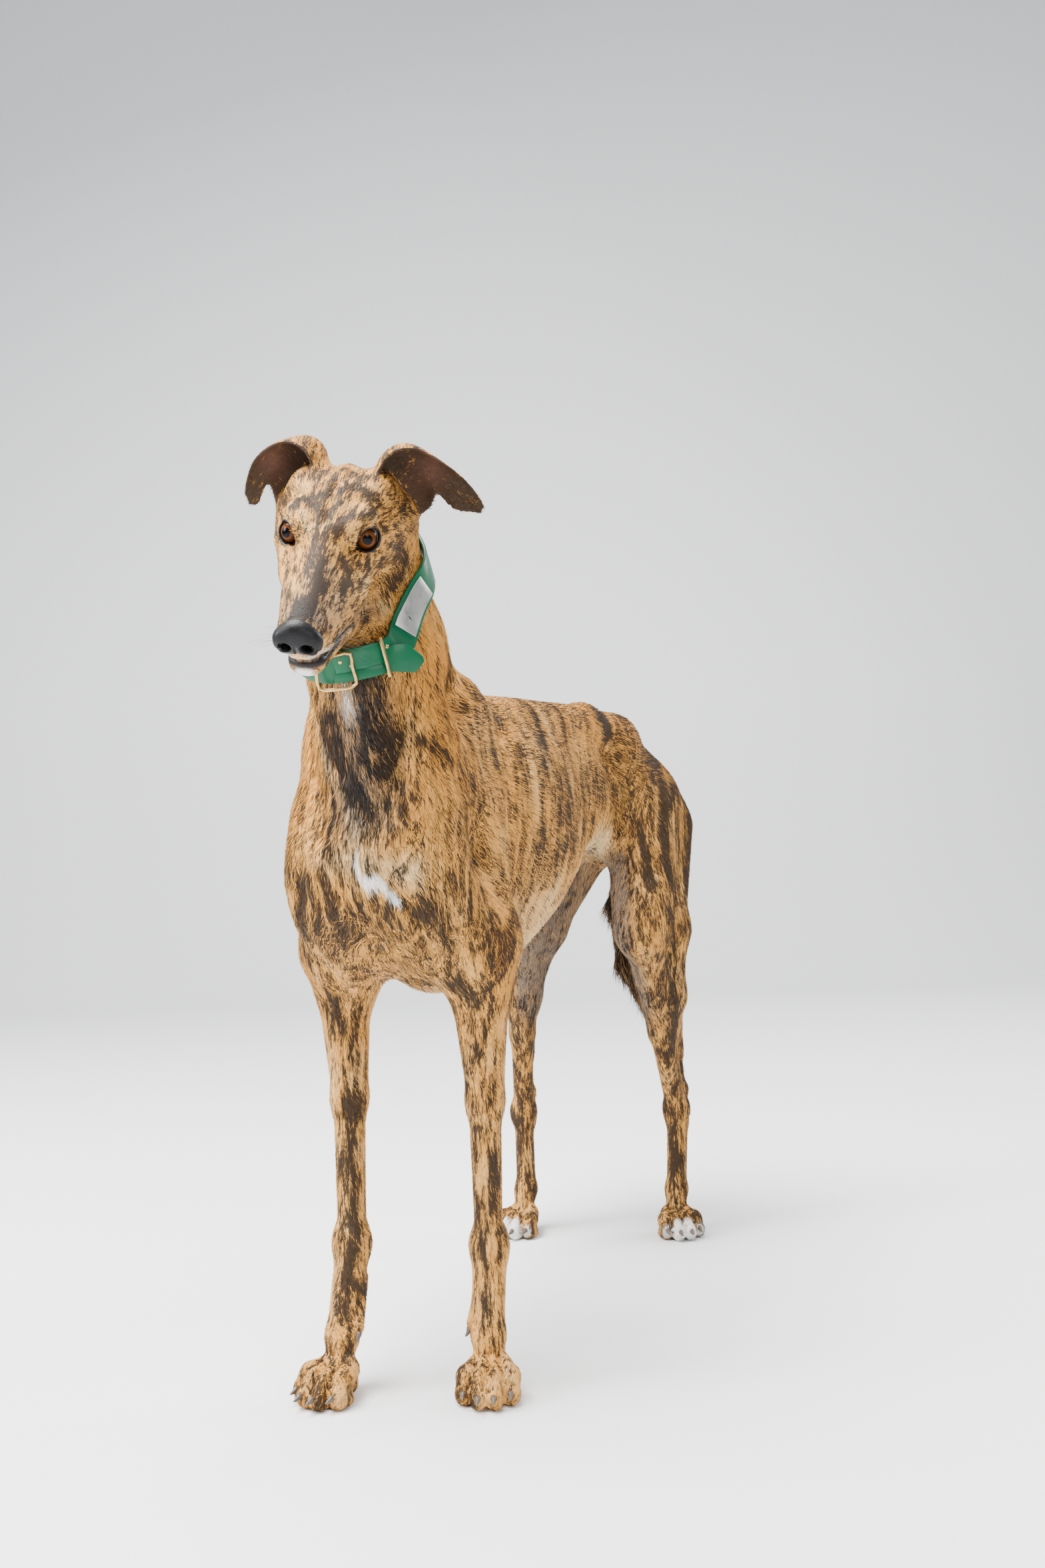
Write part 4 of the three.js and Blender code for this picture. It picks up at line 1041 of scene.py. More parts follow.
# %% Onto the field
COAT_DEPTH = 1.8
FACE_DEPTH = 0.7
EAR_DEPTH = 0.3
EYE_REACH = 16.0
MOUTH_REACH = 5.0


def weights_near(form, p, reach):
    return np.exp(-np.maximum(form.value(p), 0) / reach)


def coat_depth(p):
    face = np.clip((to_head(p)[:, 0] + 90) / 60, 0, 1)
    feet = np.clip((170 - p[:, 2]) / 120, 0, 1)
    depth = COAT_DEPTH + (FACE_DEPTH - COAT_DEPTH) * np.maximum(face * (p[:, 2] > 640), feet)
    ear_near = np.maximum(*(weights_near(form, p, 3.0) for form in ears.values()))
    return depth + (EAR_DEPTH - depth) * ear_near


def places(bm):
    return to_body([v.co for v in bm.verts])


def put(bm, p):
    for vertex, place in zip(bm.verts, to_frame(p)):
        vertex.co = place


def smoothed(bm, share):
    bmesh.ops.smooth_vert(bm, verts=bm.verts, factor=share, use_axis_x=True, use_axis_y=True, use_axis_z=True)


def near_eye(q):
    return np.minimum(*(np.linalg.norm(in_eye(name, q) - [8, 0, 0], axis=1) for name in EYES))


def refine(bm, wanted):
    """Halves the edges of the faces whose middles are wanted."""
    bm.faces.ensure_lookup_table()
    middles = to_head(to_body([face.calc_center_median() for face in bm.faces]))
    faces = [bm.faces[i] for i in np.flatnonzero(wanted(middles))]
    edges = list(dict.fromkeys(edge for face in faces for edge in face.edges))
    bmesh.ops.subdivide_edges(bm, edges=edges, cuts=1, use_grid_fill=True)
    bmesh.ops.triangulate(bm, faces=[face for face in bm.faces if len(face.verts) > 4])


def place_skin(bm):
    p = places(bm)
    put(bm, slide(p, base_value, coat_depth(p)))
    smoothed(bm, 0.5)
    refine(bm, lambda q: (near_eye(q) < EYE_REACH) | ((abs(lip_gap(q)) < MOUTH_REACH) & (q[:, 0] > 22)))
    refine(bm, lambda q: near_eye(q) < EYE_REACH - 2)
    p = places(bm)
    p = slide(p, base_value, coat_depth(p) - along_lines(RELIEF, p), 3, 1.5)
    p[:, 2] = np.maximum(p[:, 2], 0.0)
    put(bm, p)
    bmesh.ops.recalc_face_normals(bm, faces=bm.faces)
    return object_from(bm, "skin")


skin = place_skin(skin_mesh)
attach(skin, "root")
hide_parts(*FLESH)
print("skin:", sum(len(face.vertices) - 2 for face in skin.data.polygons), "triangles")

# %% [markdown]
# ## Markings
# The coat is fawn with dark brindle. The stripes come from stretched noise in the shader: they run down the
# flanks and the legs, and along the head. What gives this dog its own look is laid down as soft
# streaks and patches: the arcs over the brows, the dark V on the throat with its pale edges, the white cross
# on the chest, the lines down the legs and the white hind toes. Each layer is a value on the skin's points.

# %% Parts and layers
PART_FORMS = {
    "trunk": trunk,
    "neck": neck,
    "head": head,
    "tail": tail,
    **{f"fore_{name}": form for name, form in fore.items()},
    **{f"hind_{name}": form for name, form in hind.items()},
    **{f"ear_{name}": form for name, form in ears.items()},
}


def paired(height, width, line):
    """The same streak on both sides of the head."""
    return [streak for side in (1, -1) for streak in mirrored([(height, width, line)], (1, side, 1))]


BODY_STREAKS = {
    "dark": [
        (0.8, 19, [[30, -90, 690], [30, -88, 630]]),
        (0.8, 14, [[-16, -91, 640], [-12, -91, 612], [-4, -90, 590]]),
        (0.9, 12, [[44, -70, 622], [34, -79, 592]]),
        (0.9, 9, [[8, -90, 580], [16, -88, 566], [22, -85, 552]]),
        (0.5, 6, [[16, -88, 610], [14, -90, 585]]),
        (0.7, 7, [[66, -58, 620], [76, -44, 606], [84, -32, 597]]),
        (0.5, 7, [[83, 7, 531], [81, 12, 506]]),
        (0.5, 8, [[-46, -90, 492], [-64, -72, 458], [-72, -48, 420]]),
        (0.5, 10, [[-21, -81, 460], [-15, -63, 438]]),
        (0.4, 8, [[68, -80, 482], [75, -64, 457], [78, -40, 425]]),
        (0.5, 10, [[108, 2, 432], [98, -4, 399], [82, 0, 374]]),
        (0.5, 10, [[70, -18, 396], [66, -10, 370]]),
        (
            0.5,
            6,
            [[-74, -10, 372], [-62, 2, 331], [-62, 4, 290], [-64, 4, 249], [-64, 1, 189], [-58, 2, 149]],
        ),
        (0.7, 7, [[-58, 0, 149], [-63, -9, 115], [-61, -19, 81]]),
        (0.4, 6, [[54, 20, 330], [55, 26, 252], [54, 34, 190]]),
        (0.5, 7, [[82, 34, 225], [72, 32, 173], [68, 28, 134], [72, 28, 112], [66, 28, 84]]),
        (1.0, 15, [[56, 404, 674], [50, 436, 652]]),
        (0.7, 8, [[45, 214, 676], [62, 207, 646], [79, 176, 605]]),
        (0.6, 8, [[78, 250, 612], [88, 220, 552]]),
        (0.5, 7, [[63, 319, 616], [69, 308, 565], [69, 297, 520]]),
        (0.8, 9, [[84, 528, 628], [95, 515, 567], [102, 497, 499], [106, 500, 462]]),
        (0.6, 7, [[66, 479, 560], [79, 474, 511], [88, 461, 467]]),
        (0.7, 9, [[92, 604, 590], [98, 602, 540], [98, 580, 480], [96, 560, 430]]),
        (0.8, 9, [[108, 483, 432], [94, 511, 374], [94, 535, 315], [80, 560, 243]]),
        (0.7, 6, [[70, 583, 196], [64, 590, 140], [62, 597, 92]]),
        (0.7, 9, [[-110, 500, 440], [-120, 520, 340], [-132, 540, 230]]),
        (0.6, 6, [[-140, 530, 150], [-138, 525, 90]]),
        (0.8, 10, [[0, 640, 615], [-6, 676, 570], [-24, 690, 500], [-36, 678, 430]]),
    ],
    "white": [
        (0.8, 8, [[11, -97, 520], [12, -96, 500], [22, -94, 484]]),
        (0.7, 7, [[32, -92, 494], [50, -84, 470]]),
        (0.5, 12, [[8, -98, 690], [10, -95, 640]]),
        (0.5, 5, [[-30, -84, 625], [-13, -88, 581], [11, -93, 534]]),
        (0.5, 9, [[46, 460, 528], [44, 462, 508]]),
    ],
    "cream": [
        (0.8, 16, [[62, -85, 500], [-9, -97, 510]]),
        (0.7, 8, [[-40, -78, 650], [-14, -88, 585], [10, -93, 536]]),
        (0.6, 8, [[55, -60, 651], [54, -66, 609], [40, -79, 571], [22, -90, 536]]),
        (0.8, 40, [[0, 150, 395], [0, 300, 440], [0, 430, 490]]),
    ],
    "warm": [
        (0.6, 30, [[66, -40, 700], [76, -30, 640], [80, -20, 590]]),
        (0.8, 26, [[112, 10, 430], [104, 20, 390]]),
        (0.7, 26, [[-112, 0, 430], [-104, 10, 390]]),
        (0.6, 45, [[40, 380, 690], [60, 520, 660], [80, 590, 600]]),
        (0.6, 45, [[-40, 380, 690], [-60, 520, 660], [-80, 590, 600]]),
    ],
    "grey": [
        (1.0, 32, [[16, -90, 650], [16, -88, 590], [16, -86, 556]]),
        # Grey on the inner thighs: partly the coat's own grey, partly painted shade between the hind legs.
        (0.9, 34, [[24, 470, 470], [34, 480, 400], [42, 520, 330]]),
        (0.9, 34, [[-40, 470, 470], [-60, 470, 400], [-90, 500, 330]]),
    ],
}
HEAD_STREAKS = {
    "dark": [
        (0.9, 4.5, [[-34, 8, 28], [-38, 22, 27], [-30, 32, 23], [-14, 37, 20]]),
        (0.9, 5.0, [[18, 12, 15], [9, 16, 19], [3, 23, 21], [-2, 31, 20]]),
        (0.9, 4.5, [[-8, -33, 20], [-18, -27, 23], [-22, -17, 25], [-23, -6, 28]]),
        (0.8, 3.2, [[-14, -20, 24], [-10, -14, 24], [5, -7, 22], [24, -6, 16], [43, -4, 10], [63, -3, 6]]),
        (
            0.8,
            3.4,
            [[-36, 5, 30], [-17, 5, 27], [8, 2, 22], [27, 4, 15], [46, 4, 9], [68, 6, 4], [94, 7, -3]],
        ),
        (0.5, 3.0, [[-30, -6, 29], [-8, -3, 25], [14, -2, 20]]),
        (0.6, 4.5, [[38, 20, -2], [45, 26, -9], [52, 29, -18]]),
        (0.5, 5.0, [[23, 37, -12], [26, 40, -20]]),
        (0.7, 8.0, [[-29, 57, -26], [-35, 64, -44], [-20, 57, -50], [-4, 50, -55]]),
        (0.7, 8.0, [[-29, -57, -26], [-35, -62, -44], [-20, -57, -50], [-4, -50, -55]]),
        (1.2, 10.0, [[120, 0, -8], [108, 2, -6]]),
        (0.5, 8.0, [[106, 2, -6], [86, 4, -3], [64, 6, 3]]),
        *paired(0.25, 20.0, [[-6, 52, -34], [-30, 58, -22], [-52, 56, -2]]),
        (0.4, 12.0, [[70, 18, -14], [40, 26, -16]]),
        *paired(0.5, 7.0, [[96, 14, -24], [78, 18, -24]]),
        *paired(0.6, 3.0, [[34, 27, -80], [26, 36, -68], [18, 40, -60]]),
        (0.5, 6.0, [[-58, 16, 31], [-58, 32, 29]]),
        (0.5, 6.0, [[-52, -32, 29], [-50, -20, 31]]),
    ],
    "white": [
        *paired(0.44, 14.0, [[122, 11, -44], [112, 17, -46], [92, 20, -50], [66, 26, -56]]),
        (0.75, 12.0, [[120, 0, -70], [100, 0, -78], [80, 0, -82]]),
        (0.5, 14.0, [[80, 0, -82], [40, 0, -88]]),
    ],
    "cream": [
        (0.6, 7.0, [[36, 37, -24], [8, 45, -58], [2, 50, -68]]),
        (0.6, 5.0, [[2, -22, 20], [18, -15, 15]]),
        (0.6, 5.0, [[-18, 41, 10], [-8, 36, 18]]),
        (0.5, 6.0, [[-14, -38, 12], [-4, -34, 16]]),
    ],
    "warm": paired(0.5, 20.0, [[-60, 50, -20], [-76, 44, -50]]),
    "grey": [
        (0.6, 14.0, [[118, 0, -8], [90, 6, -6], [60, 8, 2]]),
        *paired(0.7, 13.0, [[116, 12, -16], [96, 16, -22], [70, 22, -22]]),
        *paired(0.7, 12.0, [[108, 14, -50], [76, 26, -54], [38, 34, -58], [16, 40, -62]]),
        (0.8, 13.0, [[112, 0, -74], [70, 0, -84], [20, 0, -92]]),
    ],
}
PART_TINTS = {
    "trunk": (0.26, 0.08),
    "neck": (0.14, 0.22),
    "head": (0.24, 0.0),
    "tail": (0.40, 0.0),
    "fore": (0.22, -0.05),
    "hind": (0.26, 0.05),
    "ear": (0.28, 0.5),
}
PART_BLEND = 9.0
EAR_BLEND = 2.0
EAR_PULL = 6
BODY_MARKS_TO = 730
HEAD_MARKS_FROM = 640
HEAD_SPACING = (4.4, 26, 8)
LEG_SPACING = (9, 60, 9)
FLANK_SPACING = (11, 78, 55)
CHEST_SPACING = (11, 60, 40)


def smooth_step(value, low, high):
    t = np.clip((value - low) / (high - low), 0, 1)
    return t * t * (3 - 2 * t)


def part_weights(p):
    values = {name: form.value(p) for name, form in PART_FORMS.items()}
    raw = {}
    for name, value in values.items():
        reach = EAR_BLEND if name.startswith("ear") else PART_BLEND
        raw[name] = np.exp(-np.clip(value + 2, 0, 60) / reach)
        if name.startswith("ear"):
            raw[name] *= EAR_PULL
    total = sum(raw.values())
    return {name: value / total for name, value in raw.items()}


def lines_of(streaks):
    done = []
    for height, width, line in streaks:
        line = np.array(line, float)
        dense = smooth_line(line, np.linspace(0, 1, 4 * len(line))) if len(line) > 2 else line
        done.append((height, width, dense))
    return done


def layer(name, p, q):
    on_body = along_lines(lines_of(BODY_STREAKS[name]), p)
    on_face = along_lines(lines_of(HEAD_STREAKS[name]), q) if name in HEAD_STREAKS else 0
    return np.clip(on_body * (p[:, 2] < BODY_MARKS_TO) + on_face * (p[:, 2] > HEAD_MARKS_FROM), 0, 1)


def leg_of(name):
    kind, side = name.split("_")
    return (FORELEGS if kind == "fore" else HINDLEGS)[side]


def pattern_of(p, q, normals, weights):
    """Where each point lies in the stripes' noise, stretched down the body and along the head."""
    total = np.zeros_like(p)
    front = smooth_step(-normals[:, 1], 0.3, 0.85)[:, None]
    x, y, z = p.T
    for name, weight in weights.items():
        if name == "head" or name.startswith("ear"):
            spot = q[:, [1, 0, 2]] / HEAD_SPACING + [0, 20, 0]
        elif name.startswith(("fore", "hind")):
            joint = leg_of(name)["elbow" if name.startswith("fore") else "stifle"]
            spot = np.stack([y - joint[1], z, x - joint[0]], axis=1) / LEG_SPACING + [joint[1] / 12, 0, 0]
        else:
            flank = np.stack([y - 0.12 * z, z, x], axis=1) / FLANK_SPACING
            fore = np.stack([x, z, y], axis=1) / CHEST_SPACING + [9, 0, 0]
            spot = flank + (fore - flank) * front
        total += spot * weight[:, None]
    return total


# Each span runs from where an effect begins to where it is whole: a share of the normal, or a place in
# millimetres. A fall is written as a rise of the negative place.
TOE_AHEAD = (16, 38)
TOE_DOWN = (-40, -24)
TOE_WHITE = 0.72


def white_toes(p):
    toes = np.zeros(len(p))
    for leg in HINDLEGS.values():
        q = to_paw(leg, p)
        near = (abs(q[:, 0]) < 60) & (abs(q[:, 1]) < 60)
        tips = smooth_step(q[:, 0], *TOE_AHEAD)
        toes = np.maximum(toes, near * TOE_WHITE * tips * smooth_step(-p[:, 2], *TOE_DOWN))
    return toes


RIM_FROM = 1.6
RIM_WIDTH = 1.3


def rim_of(q):
    """The bare dark margin of the lids."""
    rim = np.zeros(len(q))
    for name in EYES:
        eye = in_eye(name, q)
        gap = almond(eye[:, 1], eye[:, 2])
        margin = np.exp(-((np.maximum(gap - RIM_FROM, 0) / RIM_WIDTH) ** 2))
        rim = np.maximum(rim, margin * (abs(eye[:, 0] - 9) < 12))
    return rim


HOLLOW_REACH = 14.0


def inside_ear(q):
    """How far a point faces the hollow of its ear."""
    hollow = np.zeros(len(q))
    for name, side in EYES.items():
        line = smooth_line([between(s[0], s[1], 0.5) for s in EARS[name]], np.linspace(0, 0.36, 10))
        middle = line - np.array([CUP_BACK[0], CUP_BACK[1] * side, CUP_BACK[2]]) * 2
        hollow = np.maximum(hollow, np.exp(-gap_to(middle, q) / HOLLOW_REACH**2))
    return hollow


def facing_front(q, normal_q):
    """How far a point of an ear faces the hollow side of it."""
    facing = np.zeros(len(q))
    for side in EYES.values():
        cupward = np.array([CUP_BACK[0], CUP_BACK[1] * side, CUP_BACK[2]])
        facing = np.where(q[:, 1] * side > 0, -normal_q @ cupward, facing)
    return smooth_step(facing, -0.1, 0.35)


def normals_of(mesh):
    normals = np.empty(len(mesh.vertices) * 3)
    mesh.vertices.foreach_get("normal", normals)
    return normals.reshape(-1, 3)


def points_of(mesh):
    points = np.empty(len(mesh.vertices) * 3)
    mesh.vertices.foreach_get("co", points)
    return points.reshape(-1, 3)


BELLY_FACING = (0.15, 0.75)
BELLY_ALONG = (0, 120)
BREAST_AHEAD = (-10, 70)
BREAST_DOWN = (-540, -440)
REAR_ALONG = (330, 560)
INSIDE_FACING = (0.25, 0.7)
INSIDE_HEIGHT = (230, 340)
INSIDE_FROM = 380
GREY_BELLY_TO = 460
LIP_FROM = (30, 50)
LOWER_LIP = (60, 105)
LIP_EDGE = (-1.3, -0.7)
MOUTH_EDGE = (-0.4, 0.6)
BRINDLE_SHIFTS = {"breast": 0.04, "rear": 0.10, "belly": -0.30, "inside_leg": -0.2, "ear_front": 0.44}


def skin_layers(p, normals, weights):
    q = to_head(p)
    face = weights["head"]
    ear = weights["ear_left"] + weights["ear_right"]
    brindle = np.zeros(len(p))
    warm = np.zeros(len(p))
    for name, weight in weights.items():
        tint = PART_TINTS[name.split("_")[0]]
        brindle += weight * tint[0]
        warm += weight * tint[1]
    belly = smooth_step(-normals[:, 2], *BELLY_FACING) * weights["trunk"] * smooth_step(p[:, 1], *BELLY_ALONG)
    ear_front = facing_front(q, normals @ HEAD.T) * ear
    inner = ear_front * inside_ear(q)
    breast = smooth_step(-p[:, 1], *BREAST_AHEAD) * smooth_step(-p[:, 2], *BREAST_DOWN) * weights["trunk"]
    hindquarters = weights["trunk"] + weights["hind_left"] + weights["hind_right"]
    rear = smooth_step(p[:, 1], *REAR_ALONG) * hindquarters
    shank = weights["hind_left"] + weights["hind_right"]
    inward = -0.85 * normals[:, 0] * np.sign(p[:, 0]) - 0.5 * normals[:, 1]
    inside_leg = smooth_step(inward, *INSIDE_FACING) * shank * smooth_step(p[:, 2], *INSIDE_HEIGHT)
    inside_leg *= p[:, 1] > INSIDE_FROM
    under_lip = MOUTH_CORNER[2] + LIP_SLOPES[1] * (q[:, 0] - MOUTH_CORNER[0]) - q[:, 2]
    lip_reach = np.where(under_lip > 0, 1.6 + 5.0 * smooth_step(q[:, 0], *LOWER_LIP), 1.2)
    lips = smooth_step(-lip_gap(q) / lip_reach, *LIP_EDGE) * smooth_step(q[:, 0], *LIP_FROM) * face
    rim = rim_of(q) * face
    mouth = smooth_step(-lip_gap(q), *MOUTH_EDGE) * (q[:, 0] > MOUTH_CORNER[0]) * face
    # Inward-facing hind legs turn grey: partly the coat's own grey, partly painted shade between the legs.
    grey = np.clip(layer("grey", p, q) + 0.8 * inside_leg + 0.7 * weights["tail"], 0, 1)
    areas = {"breast": breast, "rear": rear, "belly": belly, "inside_leg": inside_leg, "ear_front": ear_front}
    for name, shift in BRINDLE_SHIFTS.items():
        brindle += shift * areas[name]
    return {
        "dark": np.clip(layer("dark", p, q), 0, 1),
        "white": np.clip(layer("white", p, q) + white_toes(p), 0, 1),
        "brindle": brindle,
        "warm": np.clip(warm + layer("warm", p, q) - layer("cream", p, q) - 0.8 * belly, -1, 1),
        "grey": np.clip(grey - 0.6 * belly * (p[:, 1] < GREY_BELLY_TO), 0, 1),
        "bare": np.clip(np.maximum(np.maximum(rim, lips), mouth), 0, 1),
        "inner": inner,
        "mouth": mouth,
    }


body_points = to_body(points_of(skin.data))
skin_normals = normals_of(skin.data)
WEIGHTS = part_weights(body_points)
LAYERS = skin_layers(body_points, skin_normals, WEIGHTS)
PATTERN = pattern_of(body_points, to_head(body_points), skin_normals, WEIGHTS)
print("layers:", {name: round(float(values.mean()), 3) for name, values in LAYERS.items()})


# %% Layers onto the mesh
def keep(mesh, name, values):
    """Stores one value or one vector for each point."""
    single = values.ndim == 1
    attribute = mesh.attributes.new(name, "FLOAT" if single else "FLOAT_VECTOR", "POINT")
    flat = np.ascontiguousarray(values, np.float32).ravel()
    attribute.data.foreach_set("value" if single else "vector", flat)


def packed(layers):
    return {
        "marks": np.stack([layers["dark"], layers["white"], layers["brindle"]], axis=1),
        "tints": np.stack([layers["warm"], layers["grey"], layers["inner"]], axis=1),
    }


SKIN_TONE = 0.5
CARRIED = {**packed(LAYERS), "pattern": PATTERN}
for name, values in {**CARRIED, "bare": LAYERS["bare"], "mouth": LAYERS["mouth"]}.items():
    keep(skin.data, name, values)
keep(skin.data, "tone", np.full(len(body_points), SKIN_TONE))

# %% [markdown]
# ## Coat colours
# One node group turns the layers into a colour, and both the skin and the tufts use it. The stripes are noise
# above a level, and the layers shift that level, so the stripes' edges stay ragged and hairy.

# %% Node helpers
def node(tree, kind, inputs=None, **settings):
    made = tree.nodes.new(kind)
    for name, value in settings.items():
        setattr(made, name, value)
    for key, value in (inputs or {}).items():
        if isinstance(value, bpy.types.NodeSocket):
            tree.links.new(value, made.inputs[key])
        else:
            made.inputs[key].default_value = value
    return made


def maths(tree, operation, a, b=0.0, c=0.0, clamp=False):
    made = node(tree, "ShaderNodeMath", {0: a, 1: b, 2: c}, operation=operation, use_clamp=clamp)
    return made.outputs[0]


def blend(tree, share, a, b, kind="MIX"):
    made = node(tree, "ShaderNodeMix", {0: share, 6: a, 7: b}, data_type="RGBA", blend_type=kind)
    return made.outputs[2]


def step_of(tree, value, low, high):
    inputs = {"Value": value, "From Min": low, "From Max": high}
    return node(tree, "ShaderNodeMapRange", inputs, interpolation_type="SMOOTHSTEP").outputs[0]


def noise(tree, vector, scale, detail=2.0, roughness=0.5):
    inputs = {"Vector": vector, "Scale": scale, "Detail": detail, "Roughness": roughness}
    return node(tree, "ShaderNodeTexNoise", inputs).outputs[0]


def read(tree, name, output="Vector"):
    return node(tree, "ShaderNodeAttribute", attribute_name=name).outputs[output]


def split(tree, vector):
    return node(tree, "ShaderNodeSeparateXYZ", {0: vector}).outputs


def scaled(tree, vector, by):
    return node(tree, "ShaderNodeVectorMath", {0: vector, 1: by}, operation="MULTIPLY").outputs[0]


def bump(tree, height, strength, distance):
    inputs = {"Height": height, "Strength": strength, "Distance": distance}
    return node(tree, "ShaderNodeBump", inputs).outputs[0]


def cells(tree, vector, scale):
    inputs = {"Vector": vector, "Scale": scale}
    return node(tree, "ShaderNodeTexVoronoi", inputs, feature="SMOOTH_F1").outputs["Distance"]


def object_place(tree):
    return node(tree, "ShaderNodeTexCoord").outputs["Object"]


def grey_of(tree, value):
    return node(tree, "ShaderNodeCombineColor", {0: value, 1: value, 2: value}).outputs[0]


def material_of(name):
    material = bpy.data.materials.new(name)
    material.use_nodes = True
    tree = material.node_tree
    return material, tree, tree.nodes["Principled BSDF"]


def dress(tree, shader, inputs):
    for key, value in inputs.items():
        if isinstance(value, bpy.types.NodeSocket):
            tree.links.new(value, shader.inputs[key])
        else:
            shader.inputs[key].default_value = value


# %% Markings group
FAWN = (0.73, 0.355, 0.075, 1)
ORANGE = (0.64, 0.265, 0.035, 1)
CREAM = (0.80, 0.58, 0.29, 1)
BRINDLE = (0.012, 0.010, 0.010, 1)
WHITE = (0.88, 0.85, 0.80, 1)
GREY = (0.13, 0.115, 0.10, 1)
EAR_PINK = (0.20, 0.085, 0.06, 1)


FINE_STRETCH = (3.1, 2.3, 3.1)
HAIR_STRETCH = (10, 5, 10)
PATCH_STRETCH = (0.35, 1.1, 0.5)
BROAD_SHARE = 0.50
FINE_SHARE = 0.64
HAIR_SHARE = 0.34
SHARE_EXCESS = 0.24
BRINDLE_GAIN = 0.45
DARK_GAIN = 0.25
TONE_GAIN = 0.22
PATCH_GAIN = 0.22
STRIPE_EDGES = (0.55, 0.68)
STRIPE_COVER = 0.95
GREY_EDGES = (0.22, 0.56)
WHITE_EDGES = (0.35, 0.62)


def stripes(tree, pattern, brindle, dark):
    """Three sizes of noise, raised where the coat is brindled or marked, and cut off at a level."""
    broad = noise(tree, pattern, 1.0, 2.0, 0.5)
    fine = noise(tree, scaled(tree, pattern, FINE_STRETCH), 1.0, 2.0, 0.6)
    hair = noise(tree, scaled(tree, pattern, HAIR_STRETCH), 1.0, 2.0, 0.7)
    patches = maths(tree, "SUBTRACT", noise(tree, scaled(tree, pattern, PATCH_STRETCH), 1.0, 1.0), 0.5)
    tone = maths(tree, "SUBTRACT", read(tree, "tone", "Fac"), SKIN_TONE)
    level = maths(tree, "MULTIPLY", broad, BROAD_SHARE)
    raised = [(fine, FINE_SHARE), (hair, HAIR_SHARE), (brindle, BRINDLE_GAIN)]
    for value, gain in raised + [(dark, DARK_GAIN), (tone, TONE_GAIN), (patches, PATCH_GAIN)]:
        level = maths(tree, "MULTIPLY_ADD", value, gain, level)
    level = maths(tree, "SUBTRACT", level, SHARE_EXCESS)
    return step_of(tree, level, *STRIPE_EDGES), patches, hair


def markings_group():
    tree = bpy.data.node_groups.new("markings", "ShaderNodeTree")
    tree.interface.new_socket("Colour", in_out="OUTPUT", socket_type="NodeSocketColor")
    tree.interface.new_socket("Hair", in_out="OUTPUT", socket_type="NodeSocketFloat")
    dark, white, brindle = split(tree, read(tree, "marks"))
    warm, grey, inner = split(tree, read(tree, "tints"))
    stripe, patches, hair = stripes(tree, read(tree, "pattern"), brindle, dark)
    warmth = maths(tree, "MULTIPLY_ADD", patches, 1.2, warm)
    base = blend(tree, maths(tree, "MULTIPLY", warmth, 1.0, clamp=True), FAWN, ORANGE)
    base = blend(tree, maths(tree, "MULTIPLY", warmth, -1.0, clamp=True), base, CREAM)
    greyness = maths(tree, "MULTIPLY", grey, step_of(tree, hair, *GREY_EDGES))
    base = blend(tree, greyness, base, GREY)
    colour = blend(tree, maths(tree, "MULTIPLY", stripe, STRIPE_COVER), base, BRINDLE)
    whiteness = maths(tree, "MULTIPLY_ADD", maths(tree, "SUBTRACT", hair, 0.5), 0.6, white)
    colour = blend(tree, step_of(tree, whiteness, *WHITE_EDGES), colour, WHITE)
    colour = blend(tree, maths(tree, "MULTIPLY", inner, 0.85), colour, EAR_PINK)
    out = node(tree, "NodeGroupOutput")
    tree.links.new(colour, out.inputs["Colour"])
    tree.links.new(hair, out.inputs["Hair"])
    return tree


MARKINGS = markings_group()

# %% Skin material
BARE_SKIN = (0.012, 0.010, 0.010, 1)
MOUTH_RED = (0.06, 0.014, 0.012, 1)


def skin_material():
    material, tree, shader = material_of("skin_under_coat")
    markings = node(tree, "ShaderNodeGroup", node_tree=MARKINGS)
    bare = read(tree, "bare", "Fac")
    mouth = read(tree, "mouth", "Fac")
    place = object_place(tree)
    # Painted shade: the skin is darkened by a noisy factor, standing for the shadow of the coat lying over
    # it.
    fine = noise(tree, place, 900.0, 2.0, 0.6)
    shade = maths(tree, "MULTIPLY_ADD", fine, 0.5, 0.62)
    colour = blend(tree, 1.0, markings.outputs["Colour"], grey_of(tree, shade), "MULTIPLY")
    colour = blend(tree, bare, colour, BARE_SKIN)
    colour = blend(tree, maths(tree, "MULTIPLY", mouth, 0.6), colour, MOUTH_RED)
    wrinkles = noise(tree, place, 420.0, 3.0)
    height = maths(tree, "ADD", maths(tree, "MULTIPLY", markings.outputs["Hair"], 1.0), wrinkles)
    dress(
        tree,
        shader,
        {
            "Base Color": colour,
            "Roughness": maths(tree, "MULTIPLY_ADD", bare, -0.36, 0.66),
            "Normal": bump(tree, height, 0.35, 0.0008),
            "Specular IOR Level": 0.2,
        },
    )
    return material


skin.data.materials.append(skin_material())

# %% [markdown]
# ## Coat
# The coat is short and lies flat. It is made of thin solid tufts that overlap like hair: longest on the tail,
# longer on the neck and the trunk than on the legs, and shortest on the feet, the ears and the head. Each
# tuft starts at a random place on a face of the skin, takes that place's layers, and follows the lie of the
# coat.

# %% Lie of the coat
WAVES = [(0, 70, 0.4), (1, 90, 1.9), (2, 110, 2.6)]
WAVE_HEIGHT = 0.16


def ear_lie(q):
    total = np.zeros_like(q)
    for name, side in EYES.items():
        line = smooth_line([between(s[0], s[1], 0.5) for s in EARS[name]], np.linspace(0, 1, 16))
        runs = np.diff(line, axis=0)
        middles = (line[:-1] + line[1:]) / 2
        gaps = ((q[:, None] - middles[None]) ** 2).sum(2)
        pull = np.exp(-gaps / 300) + 1e-12
        total += (pull[:, :, None] * runs[None]).sum(1) / pull.sum(1)[:, None] * (q[:, 1] * side > 0)[:, None]
    return total


